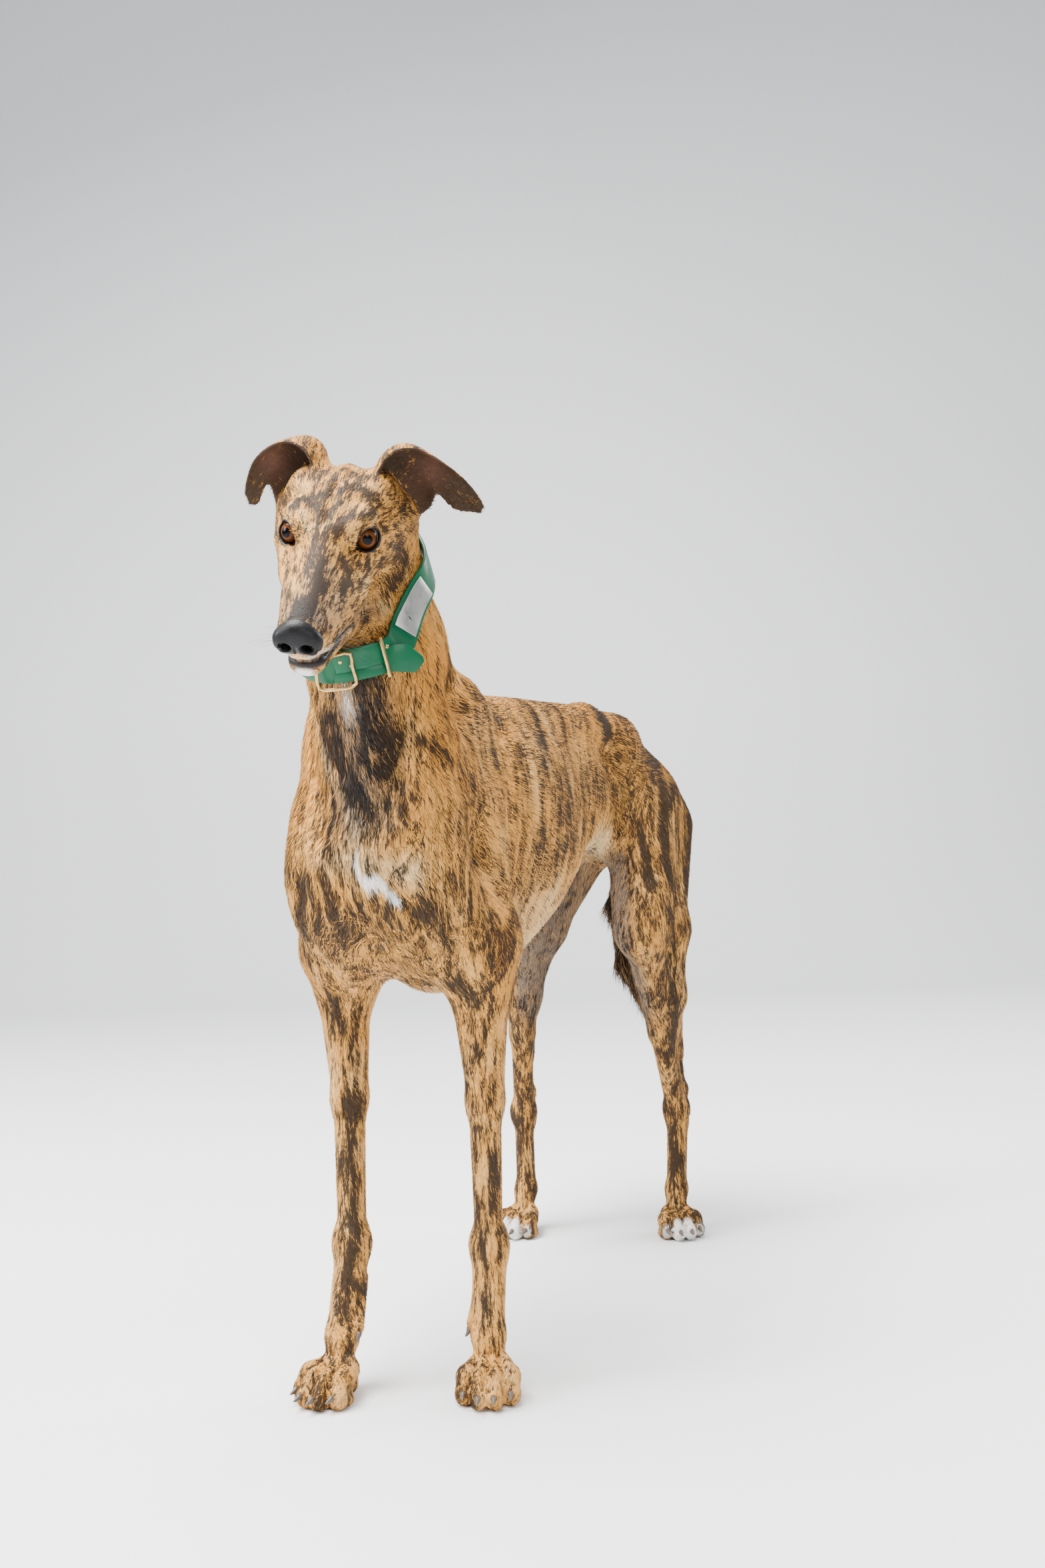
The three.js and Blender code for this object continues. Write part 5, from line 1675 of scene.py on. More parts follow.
def tail_lie(p):
    line = np.array(TAIL_ROUTE, float)
    middles = (line[:-1] + line[1:]) / 2
    pull = np.exp(-((p[:, None] - middles[None]) ** 2).sum(2) / 1500) + 1e-12
    return (pull[:, :, None] * np.diff(line, axis=0)[None]).sum(1) / pull.sum(1)[:, None]


def unit_rows(v):
    return v / (np.linalg.norm(v, axis=1)[:, None] + 1e-9)


def head_lie(q):
    ones = np.ones(len(q))
    cheek = smooth_step(-q[:, 0], -20, 40)
    fall = -0.15 - 0.5 * cheek * smooth_step(-q[:, 2], -5, 30)
    return np.stack([-ones, 0.3 * np.tanh(q[:, 1] / 20), fall], axis=1)


FLANK_ALONG = (-70, 60)
BACK_HEIGHT = (520, 660)
BELLY_DOWN = (-460, -410)
RUMP_ALONG = (500, 600)


def trunk_lie(p):
    """Down the chest, back along the flanks, and down again over the rump."""
    back = smooth_step(p[:, 1], *FLANK_ALONG)
    high = smooth_step(p[:, 2], *BACK_HEIGHT)
    low = smooth_step(-p[:, 2], *BELLY_DOWN)
    down = -(1 - back) - back * (0.75 - 0.6 * high - 0.6 * low)
    rump = smooth_step(p[:, 1], *RUMP_ALONG)
    out = 0.35 * np.tanh(p[:, 0] / 40) * (1 - back)
    return np.stack([out, 0.1 + 0.9 * back - 0.6 * rump, down - 0.5 * rump], axis=1)


def leg_lie(name, p):
    foot = smooth_step(-p[:, 2], -52, -22)
    ahead = paw_turn(leg_of(name))[0]
    down = np.array([0, 0.16, -1.0])
    return down + foot[:, None] * (ahead * 1.1 - down * 0.45)


def lie_of(p, weights):
    q = to_head(p)
    zeros = np.zeros(len(p))
    neck_way = np.stack([0.25 * np.tanh(p[:, 0] / 30), zeros + 0.35, zeros - 1], axis=1)
    ways = {"trunk": trunk_lie(p), "neck": neck_way, "tail": tail_lie(p)}
    ways["head"] = unit_rows(head_lie(q)) @ HEAD
    ways["ear_left"] = ways["ear_right"] = ear_lie(q) @ HEAD
    for name in weights:
        if name.startswith(("fore", "hind")):
            ways[name] = leg_lie(name, p)
    total = sum(unit_rows(ways[name]) * weight[:, None] for name, weight in weights.items())
    for wave, (axis, length, phase) in enumerate(WAVES):
        total[:, (axis + 1) % 3] += WAVE_HEIGHT * np.sin(p[:, axis] / length * 6.28 + phase + wave)
    return unit_rows(total)


# %% Length and width of the coat
# For each part the length, the width and the spacing of its tufts.
COAT = {
    "trunk": (8.5, 1.25, 2.4),
    "neck": (9.5, 1.2, 2.3),
    "head": (4.2, 0.62, 1.35),
    "tail": (28.0, 1.6, 2.9),
    "fore": (6.5, 0.95, 1.9),
    "hind": (7.0, 1.0, 2.0),
    "ear": (3.8, 0.6, 1.5),
}
MUZZLE_COAT = np.array([2.6, 0.46, 1.12])
SHIN_COAT = np.array([4.2, 0.75, 1.5])


def coat_sizes(p, weights):
    sizes = np.zeros((len(p), 3))
    for name, weight in weights.items():
        sizes += weight[:, None] * np.array(COAT[name.split("_")[0]])
    q = to_head(p)
    muzzle = (weights["head"] * smooth_step(q[:, 0], -10, 60))[:, None]
    sizes += muzzle * (MUZZLE_COAT - sizes)
    legs = weights["fore_left"] + weights["fore_right"] + weights["hind_left"] + weights["hind_right"]
    low = (legs * smooth_step(-p[:, 2], -300, -60))[:, None]
    sizes += low * (SHIN_COAT - sizes)
    return sizes


LIE = lie_of(body_points, WEIGHTS)
SIZES = coat_sizes(body_points, WEIGHTS)
NAMES = list(WEIGHTS)
OWNER = np.array([WEIGHTS[name] for name in NAMES]).argmax(0)


# %% Tufts
TUFT_LIMIT = 48000
TUCK = 0.25
TIP_RISE = 0.13
TIP_SPREAD = 0.16
PATCH = 0.003
STEPS_ALONG = 16
SOLE_GAP = 0.5
RIBS_FROM = 130
RUMP_FROM = 370
THIGH_FROM = 330
WAY_SPREAD = 0.13
SIZE_FROM = 0.75
SIZE_RANGE = 0.5
FRINGE_FALL = (0, 0, -0.4)
ROOT_SHADE = 0.74
TONE_SHADE = 0.42
TIP_SHADE = 0.16
rng = np.random.default_rng(7)


def regions(p, owner):
    """The name of the coat piece that each point belongs to."""
    label = np.array([NAMES[i] for i in owner], dtype=object)
    label = np.where(np.char.startswith(label.astype(str), "ear"), "ears", label)
    trunk_part = np.select([p[:, 1] < RIBS_FROM, p[:, 1] < RUMP_FROM], ["chest", "ribs"], "rump")
    label = np.where(label == "trunk", trunk_part, label)
    upper_leg = np.char.startswith(label.astype(str), "hind") & (p[:, 2] > THIGH_FROM)
    return np.where(upper_leg, np.char.replace(label.astype(str), "hind", "thigh"), label).astype(str)


def seeds():
    """Random places on the skin's triangles, as many as the local spacing asks for."""
    skin.data.calc_loop_triangles()
    corners = np.empty(len(skin.data.loop_triangles) * 3, dtype=np.int32)
    skin.data.loop_triangles.foreach_get("vertices", corners)
    corners = corners.reshape(-1, 3)
    a, b, c = (body_points[corners[:, i]] for i in range(3))
    area = np.linalg.norm(np.cross(b - a, c - a), axis=1) / 2
    spacing = SIZES[corners, 2].mean(1)
    cover = 1 - np.maximum(LAYERS["bare"], LAYERS["mouth"])[corners].max(1)
    cover *= (a[:, 2] > 3) * (1 - 0.7 * LAYERS["inner"][corners].mean(1))
    wanted = area * cover / spacing**2
    count = np.floor(wanted + rng.random(len(wanted))).astype(int)
    face = np.repeat(np.arange(len(corners)), count)
    u, v = rng.random((2, len(face)))
    fold = u + v > 1
    u[fold], v[fold] = 1 - u[fold], 1 - v[fold]
    shares = np.stack([1 - u - v, u, v], axis=1)
    return corners[face], shares


def at_seeds(values, corners, shares):
    picked = values[corners]
    return (picked * (shares if values.ndim == 1 else shares[:, :, None])).sum(1)


def unwrapped(p, axis):
    """Angle round the middle line of a piece, and place along it, both from 0 to 1."""
    run = p @ axis
    along = (run - run.min()) / (np.ptp(run) + 1e-9)
    bins = np.minimum((along * STEPS_ALONG).astype(int), STEPS_ALONG - 1)
    steps = np.arange(STEPS_ALONG)
    middle = np.array([p[bins == i].mean(0) if (bins == i).any() else p.mean(0) for i in steps])
    between_steps = along * STEPS_ALONG - 0.5
    centre = np.stack([np.interp(between_steps, steps, middle[:, k]) for k in range(3)], axis=1)
    side = unit_rows(np.cross(axis, [[0.3, 0.2, 0.93]] if abs(axis[2]) < 0.7 else [[1.0, 0.1, 0.0]]))[0]
    other = np.cross(axis, side)
    out = p - centre
    angle = np.arctan2(out @ other, out @ side) / (2 * np.pi) + 0.5
    return np.stack([PATCH + angle * (1 - 2 * PATCH), PATCH + along * (1 - 2 * PATCH)], axis=1)


AXES = {"head": HEAD[0], "ears": HEAD[1], "neck": [0, 0.35, -0.94]}
AXES.update(dict.fromkeys(("chest", "ribs", "rump"), [0, 1, 0]))
DOWN = [0, 0, -1.0]


def tuft_form(cuts):
    """One tuft: a three-sided cone one unit long and one unit wide, cut across where it bends."""
    bm = bmesh.new()
    bmesh.ops.create_cone(bm, cap_ends=True, segments=3, radius1=0.5, radius2=0.0, depth=1.0)
    bmesh.ops.translate(bm, verts=bm.verts, vec=(0, 0, 0.5))
    bmesh.ops.remove_doubles(bm, verts=bm.verts, dist=1e-4)
    for i in range(cuts):
        geometry = bm.verts[:] + bm.edges[:] + bm.faces[:]
        bmesh.ops.bisect_plane(bm, geom=geometry, plane_co=(0, 0, (i + 1) / (cuts + 1)), plane_no=(0, 0, 1))
    bmesh.ops.triangulate(bm, faces=bm.faces)
    bmesh.ops.recalc_face_normals(bm, faces=bm.faces)
    corners = np.array([vertex.co for vertex in bm.verts])
    bm.verts.index_update()
    faces = np.array([[vertex.index for vertex in face.verts] for face in bm.faces])
    bm.free()
    return corners, faces


SHORT_TUFT = tuft_form(0)
LONG_TUFT = tuft_form(1)


def laid_tufts(form, root, normal, way, size):
    """A copy of the form on every root, turned along its way and bent a little to one side."""
    side = np.cross(normal, way)
    x, y, z = form[0].T[:, None, :, None]
    length, width = size[:, :1, None], size[:, 1:2, None]
    bend = rng.normal(0, TIP_SPREAD, (len(root), 1, 1))
    rise = TIP_RISE * (0.6 + 0.8 * rng.random((len(root), 1, 1)))
    thick = width * (1 - 0.55 * (1 - z)) * 0.6
    sideways = width * x + length * bend * z**2
    upward = thick * (y + 0.5) * (z < 1) + length * rise * z - TUCK * (1 - z)
    spots = root[:, None] + side[:, None] * sideways + normal[:, None] * upward + way[:, None] * length * z
    return spots


def tuft_mesh(name, corners, faces):
    count, each = corners.shape[:2]
    index = (faces[None] + np.arange(count)[:, None, None] * each).reshape(-1)
    mesh = bpy.data.meshes.new(name)
    mesh.vertices.add(count * each)
    mesh.vertices.foreach_set("co", to_frame(corners.reshape(-1, 3)).astype(np.float32).ravel())
    mesh.loops.add(len(index))
    mesh.loops.foreach_set("vertex_index", index.astype(np.int32))
    mesh.polygons.add(len(index) // 3)
    mesh.polygons.foreach_set("loop_start", np.arange(0, len(index), 3, dtype=np.int32))
    mesh.update(calc_edges=True)
    return mesh, index


def coat_piece(name, material, spots, layers, sizes, form):
    """One object of tufts. spots holds their roots, normals and ways."""
    root = spots[0]
    corners = laid_tufts(form, *spots, sizes)
    corners[..., 2] = np.maximum(corners[..., 2], SOLE_GAP)
    mesh, index = tuft_mesh(name, corners, form[1])
    each = corners.shape[1]
    for key, values in layers.items():
        keep(mesh, key, np.repeat(values, each, axis=0))
    keep(mesh, "tone", np.repeat(rng.random(len(root)), each))
    keep(mesh, "tip", np.tile(form[0][:, 2], len(root)))
    home = unwrapped(root, np.array(AXES.get(name.split("_")[1], DOWN), float))
    patch = np.stack([form[0][:, 0], form[0][:, 2] - 0.5], axis=1) * PATCH
    spread = (home[:, None] + patch[None]).reshape(-1, 2)
    mesh.uv_layers.new(name="OFBake").data.foreach_set("uv", spread[index].astype(np.float32).ravel())
    mesh.shade_smooth()
    mesh.materials.append(material)
    piece = bpy.data.objects.new(name, mesh)
    bpy.context.scene.collection.objects.link(piece)
    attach(piece, "root")
    return len(root) * len(form[1])


def hair_material():
    material, tree, shader = material_of("short_coat")
    markings = node(tree, "ShaderNodeGroup", node_tree=MARKINGS)
    tone = read(tree, "tone", "Fac")
    tip = read(tree, "tip", "Fac")
    shade = maths(tree, "MULTIPLY_ADD", tone, TONE_SHADE, ROOT_SHADE)
    shade = maths(tree, "MULTIPLY_ADD", tip, TIP_SHADE, shade)
    colour = blend(tree, 1.0, markings.outputs["Colour"], grey_of(tree, shade), "MULTIPLY")
    strands = noise(tree, object_place(tree), 2400.0, 1.0)
    dress(
        tree,
        shader,
        {
            "Base Color": colour,
            "Roughness": 0.6,
            "Specular IOR Level": 0.10,
            "Normal": bump(tree, strands, 0.25, 0.0003),
        },
    )
    return material


def make_coat():
    corners, shares = seeds()
    root = at_seeds(body_points, corners, shares)
    normal = unit_rows(at_seeds(skin_normals, corners, shares))
    way = at_seeds(LIE, corners, shares)
    way = way + rng.normal(0, WAY_SPREAD, way.shape)
    way = unit_rows(way - normal * (way * normal).sum(1)[:, None])
    sizes = at_seeds(SIZES, corners, shares) * (SIZE_FROM + SIZE_RANGE * rng.random((len(root), 1)))
    shaggy = at_seeds(WEIGHTS["tail"], corners, shares)[:, None] * np.maximum(normal[:, 1:2], 0)
    way = unit_rows(way + shaggy * (normal * 0.5 + FRINGE_FALL))
    layers = {key: at_seeds(values, corners, shares) for key, values in CARRIED.items()}
    label = regions(root, OWNER[corners[:, 0]])
    material = hair_material()
    total = 0
    for name in sorted(set(label)):
        pick = np.flatnonzero(label == name)
        parts = np.array_split(pick, math.ceil(len(pick) / TUFT_LIMIT))
        for i, part in enumerate(parts):
            spots = (root[part], normal[part], way[part])
            piece = f"coat_{name}" + (f"_{i + 1}" if len(parts) > 1 else "")
            own = {key: values[part] for key, values in layers.items()}
            form = LONG_TUFT if name == "tail" else SHORT_TUFT
            count = coat_piece(piece, material, spots, own, sizes[part], form)
            print(piece, len(part), "tufts")
            total += count
    return total


coat_triangles = make_coat()
print("coat:", coat_triangles, "triangles")

# %% [markdown]
# ## Eyes, nose, claws and whiskers
# The eyes are amber balls with a round pupil and a clear, slightly bulging cornea. The nose is bare leather
# with a groove down its middle and open nostrils, each drawn out into a slit at its side. The claws are dark
# horn, and the whiskers are long thin cones.

# %% Eyes
PUPIL = 4.8
IRIS = 9.2
CORNEA_RISE = 0.9
IRIS_AXES = {"left": (0.841, 0.407, 0.355), "right": (0.813, -0.462, 0.353)}
IRIS_INNER = (0.12, 0.034, 0.006, 1)
IRIS_OUTER = (0.060, 0.017, 0.004, 1)
IRIS_FIBRE = (0.055, 0.016, 0.004, 1)
IRIS_EDGE = (0.010, 0.006, 0.005, 1)
EYE_WHITE = (0.12, 0.085, 0.07, 1)
PUPIL_BLACK = (0.002, 0.002, 0.003, 1)


def iris_material():
    material, tree, shader = material_of("amber_eye")
    across, up, _ = split(tree, read(tree, "gaze"))
    square = maths(tree, "ADD", maths(tree, "MULTIPLY", across, across), maths(tree, "MULTIPLY", up, up))
    away = maths(tree, "SQRT", square)
    turn = maths(tree, "MULTIPLY", maths(tree, "ARCTAN2", up, across), 9.0)
    spoke = node(tree, "ShaderNodeCombineXYZ", {0: turn, 1: maths(tree, "MULTIPLY", away, 0.16)})
    fibres = step_of(tree, noise(tree, spoke.outputs[0], 1.6, 3.0, 0.65), 0.35, 0.75)
    amber = blend(tree, step_of(tree, away, PUPIL, IRIS - 1.2), IRIS_INNER, IRIS_OUTER)
    dark = blend(tree, maths(tree, "MULTIPLY", fibres, 0.35), amber, IRIS_FIBRE)
    ringed = blend(tree, step_of(tree, away, IRIS - 1.5, IRIS), dark, IRIS_EDGE)
    white = blend(tree, step_of(tree, away, IRIS + 0.3, IRIS + 1.6), ringed, EYE_WHITE)
    colour = blend(tree, step_of(tree, away, PUPIL - 0.4, PUPIL + 0.2), PUPIL_BLACK, white)
    dress(
        tree,
        shader,
        {
            "Base Color": colour,
            "Roughness": 0.35,
            "Coat Weight": 0.4,
            "Coat Roughness": 0.02,
            "Coat IOR": 1.34,
            "Specular IOR Level": 0.0,
        },
    )
    return material


def make_eye(name, side, material):
    bm = bmesh.new()
    bmesh.ops.create_uvsphere(bm, u_segments=56, v_segments=40, radius=EYE_RADIUS)
    local = np.array([v.co for v in bm.verts])
    away = np.hypot(local[:, 0], local[:, 1])
    ahead = local[:, 2] > 0
    rise = CORNEA_RISE * np.clip(1 - (away / IRIS) ** 2, 0, 1) ** 0.7 * ahead
    local *= (1 + rise / EYE_RADIUS)[:, None]
    axis = np.array(IRIS_AXES[name])
    axis /= np.linalg.norm(axis)
    level = unit_rows(np.cross([[0, 0, 1.0]], [axis]))[0]
    upright = np.cross(axis, level)
    seat = np.array([EYE_SEAT[0], EYE_SEAT[1] * side, EYE_SEAT[2]])
    spots = local @ np.stack([level, upright, axis]) + seat
    for vertex, spot in zip(bm.verts, to_frame(on_head(spots))):
        vertex.co = spot
    bmesh.ops.recalc_face_normals(bm, faces=bm.faces)
    eye = object_from(bm, f"eye_{name}_ball", material)
    local[:, 2] = np.where(ahead, local[:, 2], -20)
    local[~ahead, 0] = 20
    keep(eye.data, "gaze", local)
    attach(eye, "root")
    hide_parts(f"eye_{name}")


AMBER = iris_material()
for name, side in EYES.items():
    make_eye(name, side, AMBER)

# %% Nose
NOSE_VOXEL = 0.0009
NOSTRIL_SPOT = (9.4, -27)
NOSTRIL_RADII = (6.4, 5.2)
NOSTRIL_DEPTH = 8.0
SLIT = ([142, 12, -30], [130, 20, -34], 2.2, 1.5)
GROOVE_DEPTH = 1.3
NOSE_BLACK = (0.003, 0.003, 0.004, 1)
NOSE_GREY = (0.011, 0.011, 0.012, 1)
# Painted shade: the depths of the nostrils are darker than the leather.
NOSTRIL_PAINTED_SHADE = (0.001, 0.001, 0.001, 1)


def nose_value(q):
    value = nose_flesh.value(q)
    brow = np.exp(-(((q[:, 0] - 133 - 0.35 * (q[:, 2] + 20)) / 7) ** 2)) * smooth_step(q[:, 2], -30, -16)
    value -= 1.0 * brow
    for side in (1, -1):
        start, end, wide, narrow = SLIT
        a = [start[0], start[1] * side, start[2]]
        b = [end[0], end[1] * side, end[2]]
        value = carve(value, rod(a, b, wide, narrow).value(q), 1.2)
    groove = GROOVE_DEPTH * np.exp(-((q[:, 1] / 1.3) ** 2)) * smooth_step(-q[:, 2], 22, 30)
    return np.maximum(value + groove, NOSE_BACK - 2.5 - q[:, 0])


def nostril(q):
    """How far inside the rim of its nostril a point lies, seen from the front: 0 outside, 1 in the middle."""
    across = (abs(q[:, 1]) - NOSTRIL_SPOT[0]) / NOSTRIL_RADII[0]
    up = (q[:, 2] - NOSTRIL_SPOT[1]) / NOSTRIL_RADII[1]
    return np.clip(1 - np.hypot(across, up), 0, 1) * (q[:, 0] > 128)


def nose_material():
    material, tree, shader = material_of("nose_leather")
    deep = read(tree, "deep", "Fac")
    place = object_place(tree)
    pebbles = cells(tree, place, 780.0)
    soft = noise(tree, place, 160.0, 3.0)
    colour = blend(tree, soft, NOSE_BLACK, NOSE_GREY)
    # Painted shade inside the nostrils, deepest in their middles.
    colour = blend(tree, deep, colour, NOSTRIL_PAINTED_SHADE)
    dress(
        tree,
        shader,
        {
            "Base Color": colour,
            "Roughness": maths(tree, "MULTIPLY_ADD", soft, 0.18, 0.34),
            "Specular IOR Level": maths(tree, "MULTIPLY_ADD", deep, -0.18, 0.18),
            "Normal": bump(tree, pebbles, 0.5, 0.0004),
        },
    )
    return material


def make_nose():
    bm = remeshed(merged_copy(["nose"]), NOSE_VOXEL)
    q = to_head(places(bm))
    q = slide(q, nose_value, 0.0, 6, 2.0)
    put(bm, on_head(q))
    smoothed(bm, 0.4)
    q = slide(to_head(places(bm)), nose_value, 0.0, 1, 0.5)
    deep = smooth_step(nostril(q), 0.02, 0.42)
    q[:, 0] -= NOSTRIL_DEPTH * deep
    put(bm, on_head(q))
    bmesh.ops.recalc_face_normals(bm, faces=bm.faces)
    nose = object_from(bm, "nose_leather", nose_material())
    keep(nose.data, "deep", deep)
    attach(nose, "root")
    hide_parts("nose")
    print("nose:", len(nose.data.polygons), "faces")


make_nose()

# %% Claws
def claw_material():
    material, tree, shader = material_of("horn")
    place = object_place(tree)
    grain = noise(tree, scaled(tree, place, (300, 300, 900)), 1.0, 3.0)
    colour = blend(tree, grain, (0.030, 0.022, 0.018, 1), (0.16, 0.12, 0.09, 1))
    dress(tree, shader, {"Base Color": colour, "Roughness": 0.34, "Normal": bump(tree, grain, 0.25, 0.0003)})
    return material


def make_claws():
    horn = claw_material()
    claws = [name for name in NODES if "claw" in name]
    for name in claws:
        bm = bmesh.new()
        bm.from_mesh(NODES[name].data)
        bmesh.ops.remove_doubles(bm, verts=bm.verts, dist=2e-5)
        bmesh.ops.subdivide_edges(bm, edges=bm.edges[:], cuts=1, use_grid_fill=True, smooth=0.6)
        smoothed(bm, 0.4)
        claw = object_from(bm, f"{name}_horn", horn)
        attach(claw, "root")
        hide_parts(name)
    print("claw nodes:", claws)


make_claws()

# %% Whiskers
WHISKER_RADIUS = 0.16
WHISKER_ROWS = [(112, 15, -38, 26, 5), (104, 16, -43, 34, 5), (92, 18, -46, 40, 4)]


def make_whiskers():
    """Long thin cones, each bent down to its tip."""
    form = tuft_form(5)
    x, y, z = form[0].T[:, :, None]
    made = []
    for ahead, out, up, length, count in WHISKER_ROWS:
        for side in (1, -1):
            for i in range(count):
                start = np.array([[ahead - 5.0 * i, out * side, up - 0.8 * i]])
                start = slide(start, lambda q: base_value(on_head(q)), 1.5, 6, 4.0)[0]
                way = unit_rows(np.array([[0.25 - 0.16 * i, 0.95 * side, -0.28 + 0.1 * rng.normal()]]))[0]
                droop = np.array([-0.5, 0.1 * side, -0.4 + 0.3 * rng.normal()])
                across = unit_rows(np.cross([way], [[0.2, 0.1, 1.0]]))[0]
                other = np.cross(way, across)
                reach = length * (0.7 + 0.5 * rng.random())
                line = start + way * reach * z + droop * reach * 0.35 * z * z
                made.append(on_head(line + 2 * WHISKER_RADIUS * (across * x + other * y)))
    mesh, _ = tuft_mesh("whiskers", np.array(made), form[1])
    mesh.materials.append(plain_material("whisker", (0.10, 0.08, 0.07, 1), 0.4))
    whiskers = bpy.data.objects.new("whiskers", mesh)
    bpy.context.scene.collection.objects.link(whiskers)
    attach(whiskers, "root")


make_whiskers()

# %% [markdown]
# ## Collar
# The collar is glossy green leather, a little worn. Its end is folded back behind the buckle and held by four
# rivets, and a free end passes through the keeper. The metal is old brass, and the plate is plain and
# brushed.

# %% Collar materials
LEATHER_GREEN = (0.0, 0.085, 0.035, 1)
LEATHER_TEAL = (0.035, 0.200, 0.240, 1)
LEATHER_DEEP = (0.002, 0.050, 0.028, 1)


def leather_material():
    material, tree, shader = material_of("green_leather")
    place = object_place(tree)
    grain = cells(tree, place, 1500.0)
    wear = noise(tree, place, 38.0, 4.0, 0.6)
    scuff = noise(tree, scaled(tree, place, (700, 260, 900)), 1.0, 2.0)
    rear = step_of(tree, split(tree, place)[1], -0.235, -0.205)
    colour = blend(tree, rear, LEATHER_GREEN, LEATHER_TEAL)
    colour = blend(tree, maths(tree, "MULTIPLY", step_of(tree, wear, 0.45, 0.75), 0.45), colour, LEATHER_DEEP)
    height = maths(tree, "MULTIPLY_ADD", grain, 0.5, maths(tree, "MULTIPLY", wear, 0.5))
    dress(
        tree,
        shader,
        {
            "Base Color": colour,
            "Roughness": maths(tree, "MULTIPLY_ADD", scuff, 0.25, 0.28),
            "Specular IOR Level": 0.2,
            "Coat Weight": 0.08,
            "Coat Roughness": 0.12,
            "Normal": bump(tree, height, 0.25, 0.0004),
        },
    )
    return material


def metal_material(name, colour, dull, rough, stretch):
    material, tree, shader = material_of(name)
    place = object_place(tree)
    brushed = noise(tree, scaled(tree, place, stretch), 1.0, 3.0)
    worn = noise(tree, place, 90.0, 3.0)
    dress(
        tree,
        shader,
        {
            "Base Color": blend(tree, step_of(tree, worn, 0.45, 0.75), colour, dull),
            "Metallic": 1.0,
            "Roughness": maths(tree, "MULTIPLY_ADD", brushed, 0.25, rough),
            "Normal": bump(tree, brushed, 0.12, 0.0002),
        },
    )
    return material


LEATHER = leather_material()
BRASS = metal_material("old_brass", (0.52, 0.34, 0.13, 1), (0.20, 0.13, 0.06, 1), 0.18, (500, 500, 500))
STEEL = metal_material("brushed_plate", (0.50, 0.49, 0.47, 1), (0.36, 0.35, 0.33, 1), 0.30, (2200, 300, 300))

# %% Strap, plate and brass
EDGE_ROUND = 0.0005
ROUND_FROM = math.radians(38)


def softened(node_name, material, offset=EDGE_ROUND, trim=None):
    """A copy of a solid with its hard edges rounded."""
    bm = bmesh.new()
    bm.from_mesh(NODES[node_name].data)
    bmesh.ops.remove_doubles(bm, verts=bm.verts, dist=1e-5)
    if trim:
        trim(bm)
    edges = [e for e in bm.edges if len(e.link_faces) == 2 and e.calc_face_angle(0) > ROUND_FROM]
    bmesh.ops.bevel(bm, geom=edges, offset=offset, segments=2, profile=0.5, affect="EDGES", material=-1)
    bmesh.ops.recalc_face_normals(bm, faces=bm.faces)
    piece = object_from(bm, f"{node_name}_finish", material)
    piece.data.set_sharp_from_angle(angle=math.radians(50))
    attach(piece, "root")
    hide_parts(node_name)
    return piece


softened("collar_band", LEATHER, 0.0009)
softened("collar_plate", STEEL, 0.0003)
softened("collar_buckle", BRASS, 0.0004)
softened("collar_keeper", BRASS, 0.0004)

# %% Free end and fold
FOLD_FROM = -84
FOLD_TO = -52
FOLD_THICKNESS = 2.8
FOLD_LOW = 0.36
FOLD_HIGH = 0.93
END_TOP = 0.56
RIVETS = [(-56, 0.78), (-55, 0.52), (-80, 0.70), (-76, 0.52)]
RIVET_RADIUS = 1.9
COLLAR_UP = np.array([0, 0.6, 0.8])
RAY_REACH = 160
EDGE_INSET = 0.6


def band_tree():
    bm = bmesh.new()
    bm.from_mesh(NODES["collar_band"].data)
    tree = BVHTree.FromBMesh(bm)
    bm.free()
    return tree


BAND = band_tree()


def toward(angle):
    turned = math.radians(angle)
    return np.array([math.cos(turned), 0, 0]) + COLLAR_UP * math.sin(turned)


def band_edges(angle):
    """Lowest and highest offset along the collar's axis at which a ray meets the strap."""
    axis = np.array(COLLAR_AXIS)
    hits = [t for t in np.arange(-60, 40, 0.5) if on_band(angle, t, axis)[0] is not None]
    return min(hits) + EDGE_INSET, max(hits) - EDGE_INSET


def on_band(angle, offset, axis):
    start = COLLAR_CENTRE + toward(angle) * RAY_REACH + axis * offset
    spot, normal, _, _ = BAND.ray_cast(Vector(to_frame(start)), Vector(-toward(angle)), RAY_REACH * MM)
    return spot, normal


def strap_spot(angle, share, lift):
    """A point over the strap: share runs from its lower edge to its upper edge."""
    axis = np.array(COLLAR_AXIS)
    low, high = band_edges(angle)
    spot, normal = on_band(angle, low + (high - low) * share, axis)
    return spot + normal * lift * MM, normal


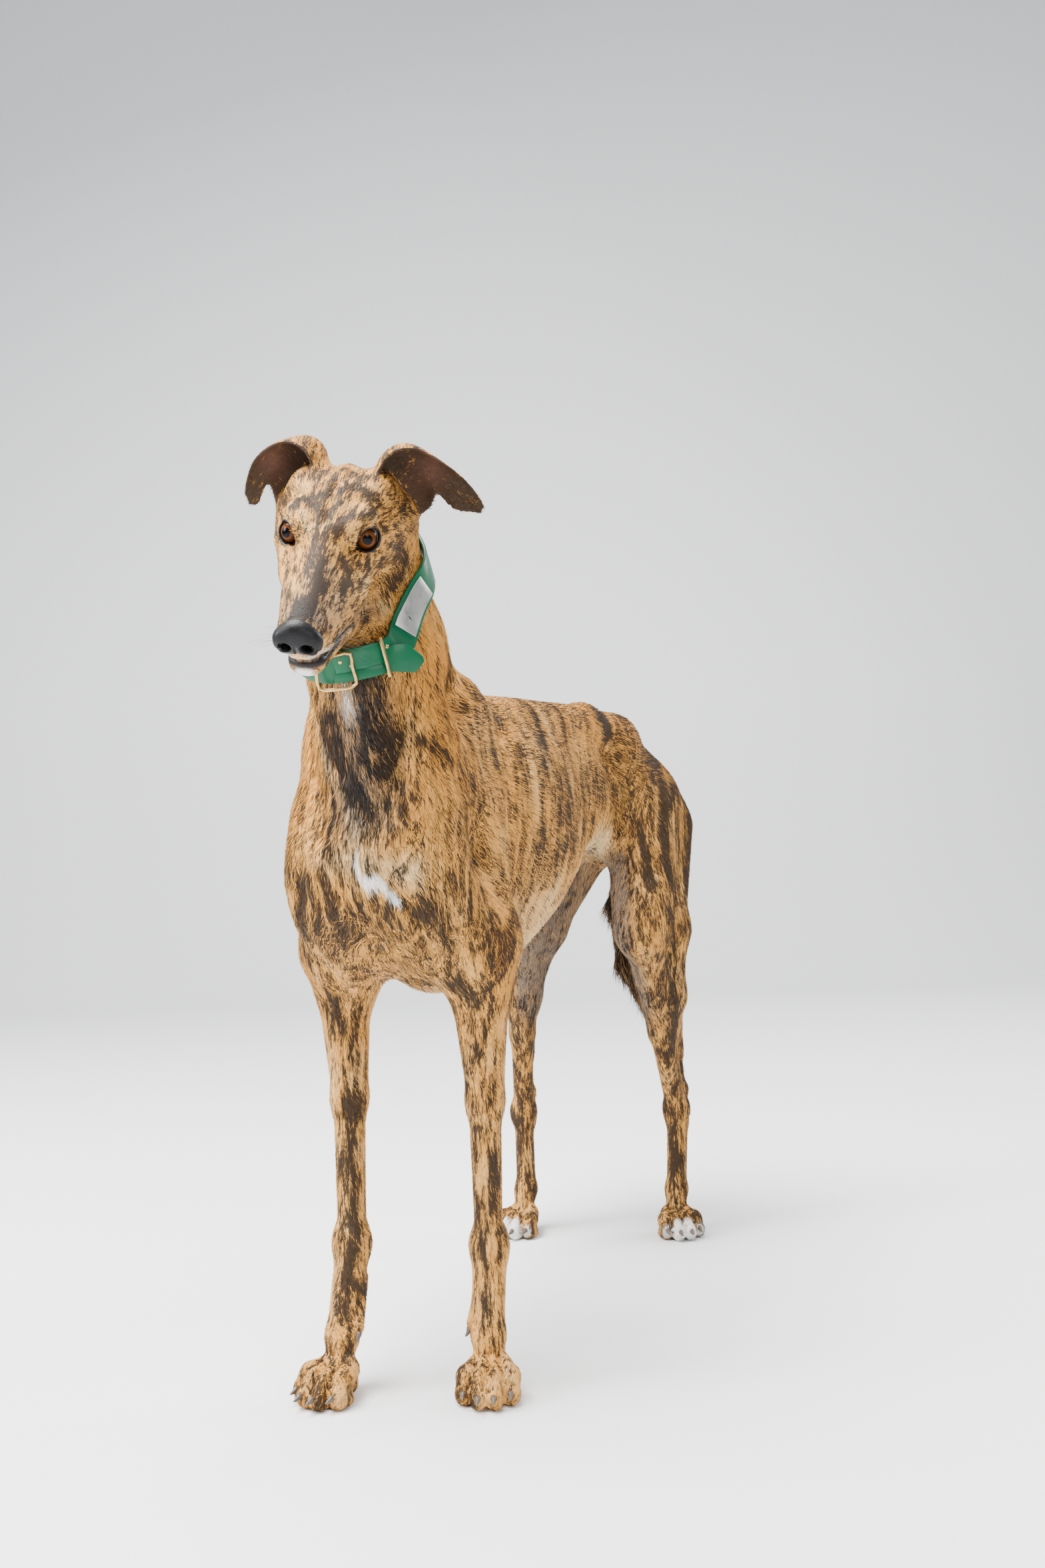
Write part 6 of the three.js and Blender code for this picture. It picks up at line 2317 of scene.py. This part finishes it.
def make_fold():
    bm = bmesh.new()
    bmesh.ops.create_grid(bm, x_segments=14, y_segments=5, size=0.5)
    for vertex in bm.verts:
        angle = FOLD_FROM + (FOLD_TO - FOLD_FROM) * (vertex.co.x + 0.5)
        share = FOLD_LOW + (FOLD_HIGH - FOLD_LOW) * (vertex.co.y + 0.5)
        vertex.co = strap_spot(angle, share, FOLD_THICKNESS)[0]
    bmesh.ops.solidify(bm, geom=bm.faces[:], thickness=-FOLD_THICKNESS * MM)
    bmesh.ops.recalc_face_normals(bm, faces=bm.faces)
    edges = [e for e in bm.edges if e.calc_face_angle(0) > math.radians(50)]
    bmesh.ops.bevel(bm, geom=edges, offset=0.0004, segments=2, profile=0.5, affect="EDGES", material=-1)
    fold = object_from(bm, "collar_fold", LEATHER)
    fold.data.set_sharp_from_angle(angle=math.radians(50))
    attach(fold, "root")


def make_rivets():
    bm = bmesh.new()
    for angle, share in RIVETS:
        spot, normal = strap_spot(angle, share, FOLD_THICKNESS - 0.2)
        facing = normal.to_track_quat("Z", "Y").to_matrix().to_4x4()
        head = bmesh.ops.create_uvsphere(bm, u_segments=20, v_segments=10, radius=RIVET_RADIUS * MM)["verts"]
        for vertex in head:
            hollow = max(0, 1 - vertex.co.xy.length / (RIVET_RADIUS * MM * 0.5))
            vertex.co.z = vertex.co.z * 0.5 - hollow * 0.0006
        bmesh.ops.transform(bm, matrix=Matrix.Translation(spot) @ facing, verts=head)
    rivets = object_from(bm, "collar_rivets", BRASS)
    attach(rivets, "root")


def lower_end(bm):
    """Pulls the free end's upper edge down, so that the fold shows above it."""
    axis = np.array(COLLAR_AXIS)
    p = to_body([v.co for v in bm.verts])
    angle = np.degrees(np.arctan2((p - COLLAR_CENTRE) @ COLLAR_UP, (p - COLLAR_CENTRE)[:, 0]))
    for vertex, spot, turned in zip(bm.verts, p, angle):
        low, high = band_edges(min(max(turned, FOLD_FROM - 2), -60))
        offset = (spot - COLLAR_CENTRE) @ axis
        share = (offset - low) / (high - low)
        held = 1 - min(max((turned + 60) / 12, 0), 1)
        wanted = share if share < 0.2 else 0.2 + (share - 0.2) * (END_TOP - 0.2) / 0.8
        vertex.co += Vector(axis * (wanted - share) * (high - low) * held * MM)


make_fold()
make_rivets()
softened("collar_end", LEATHER, 0.0006, lower_end)
print("collar done")
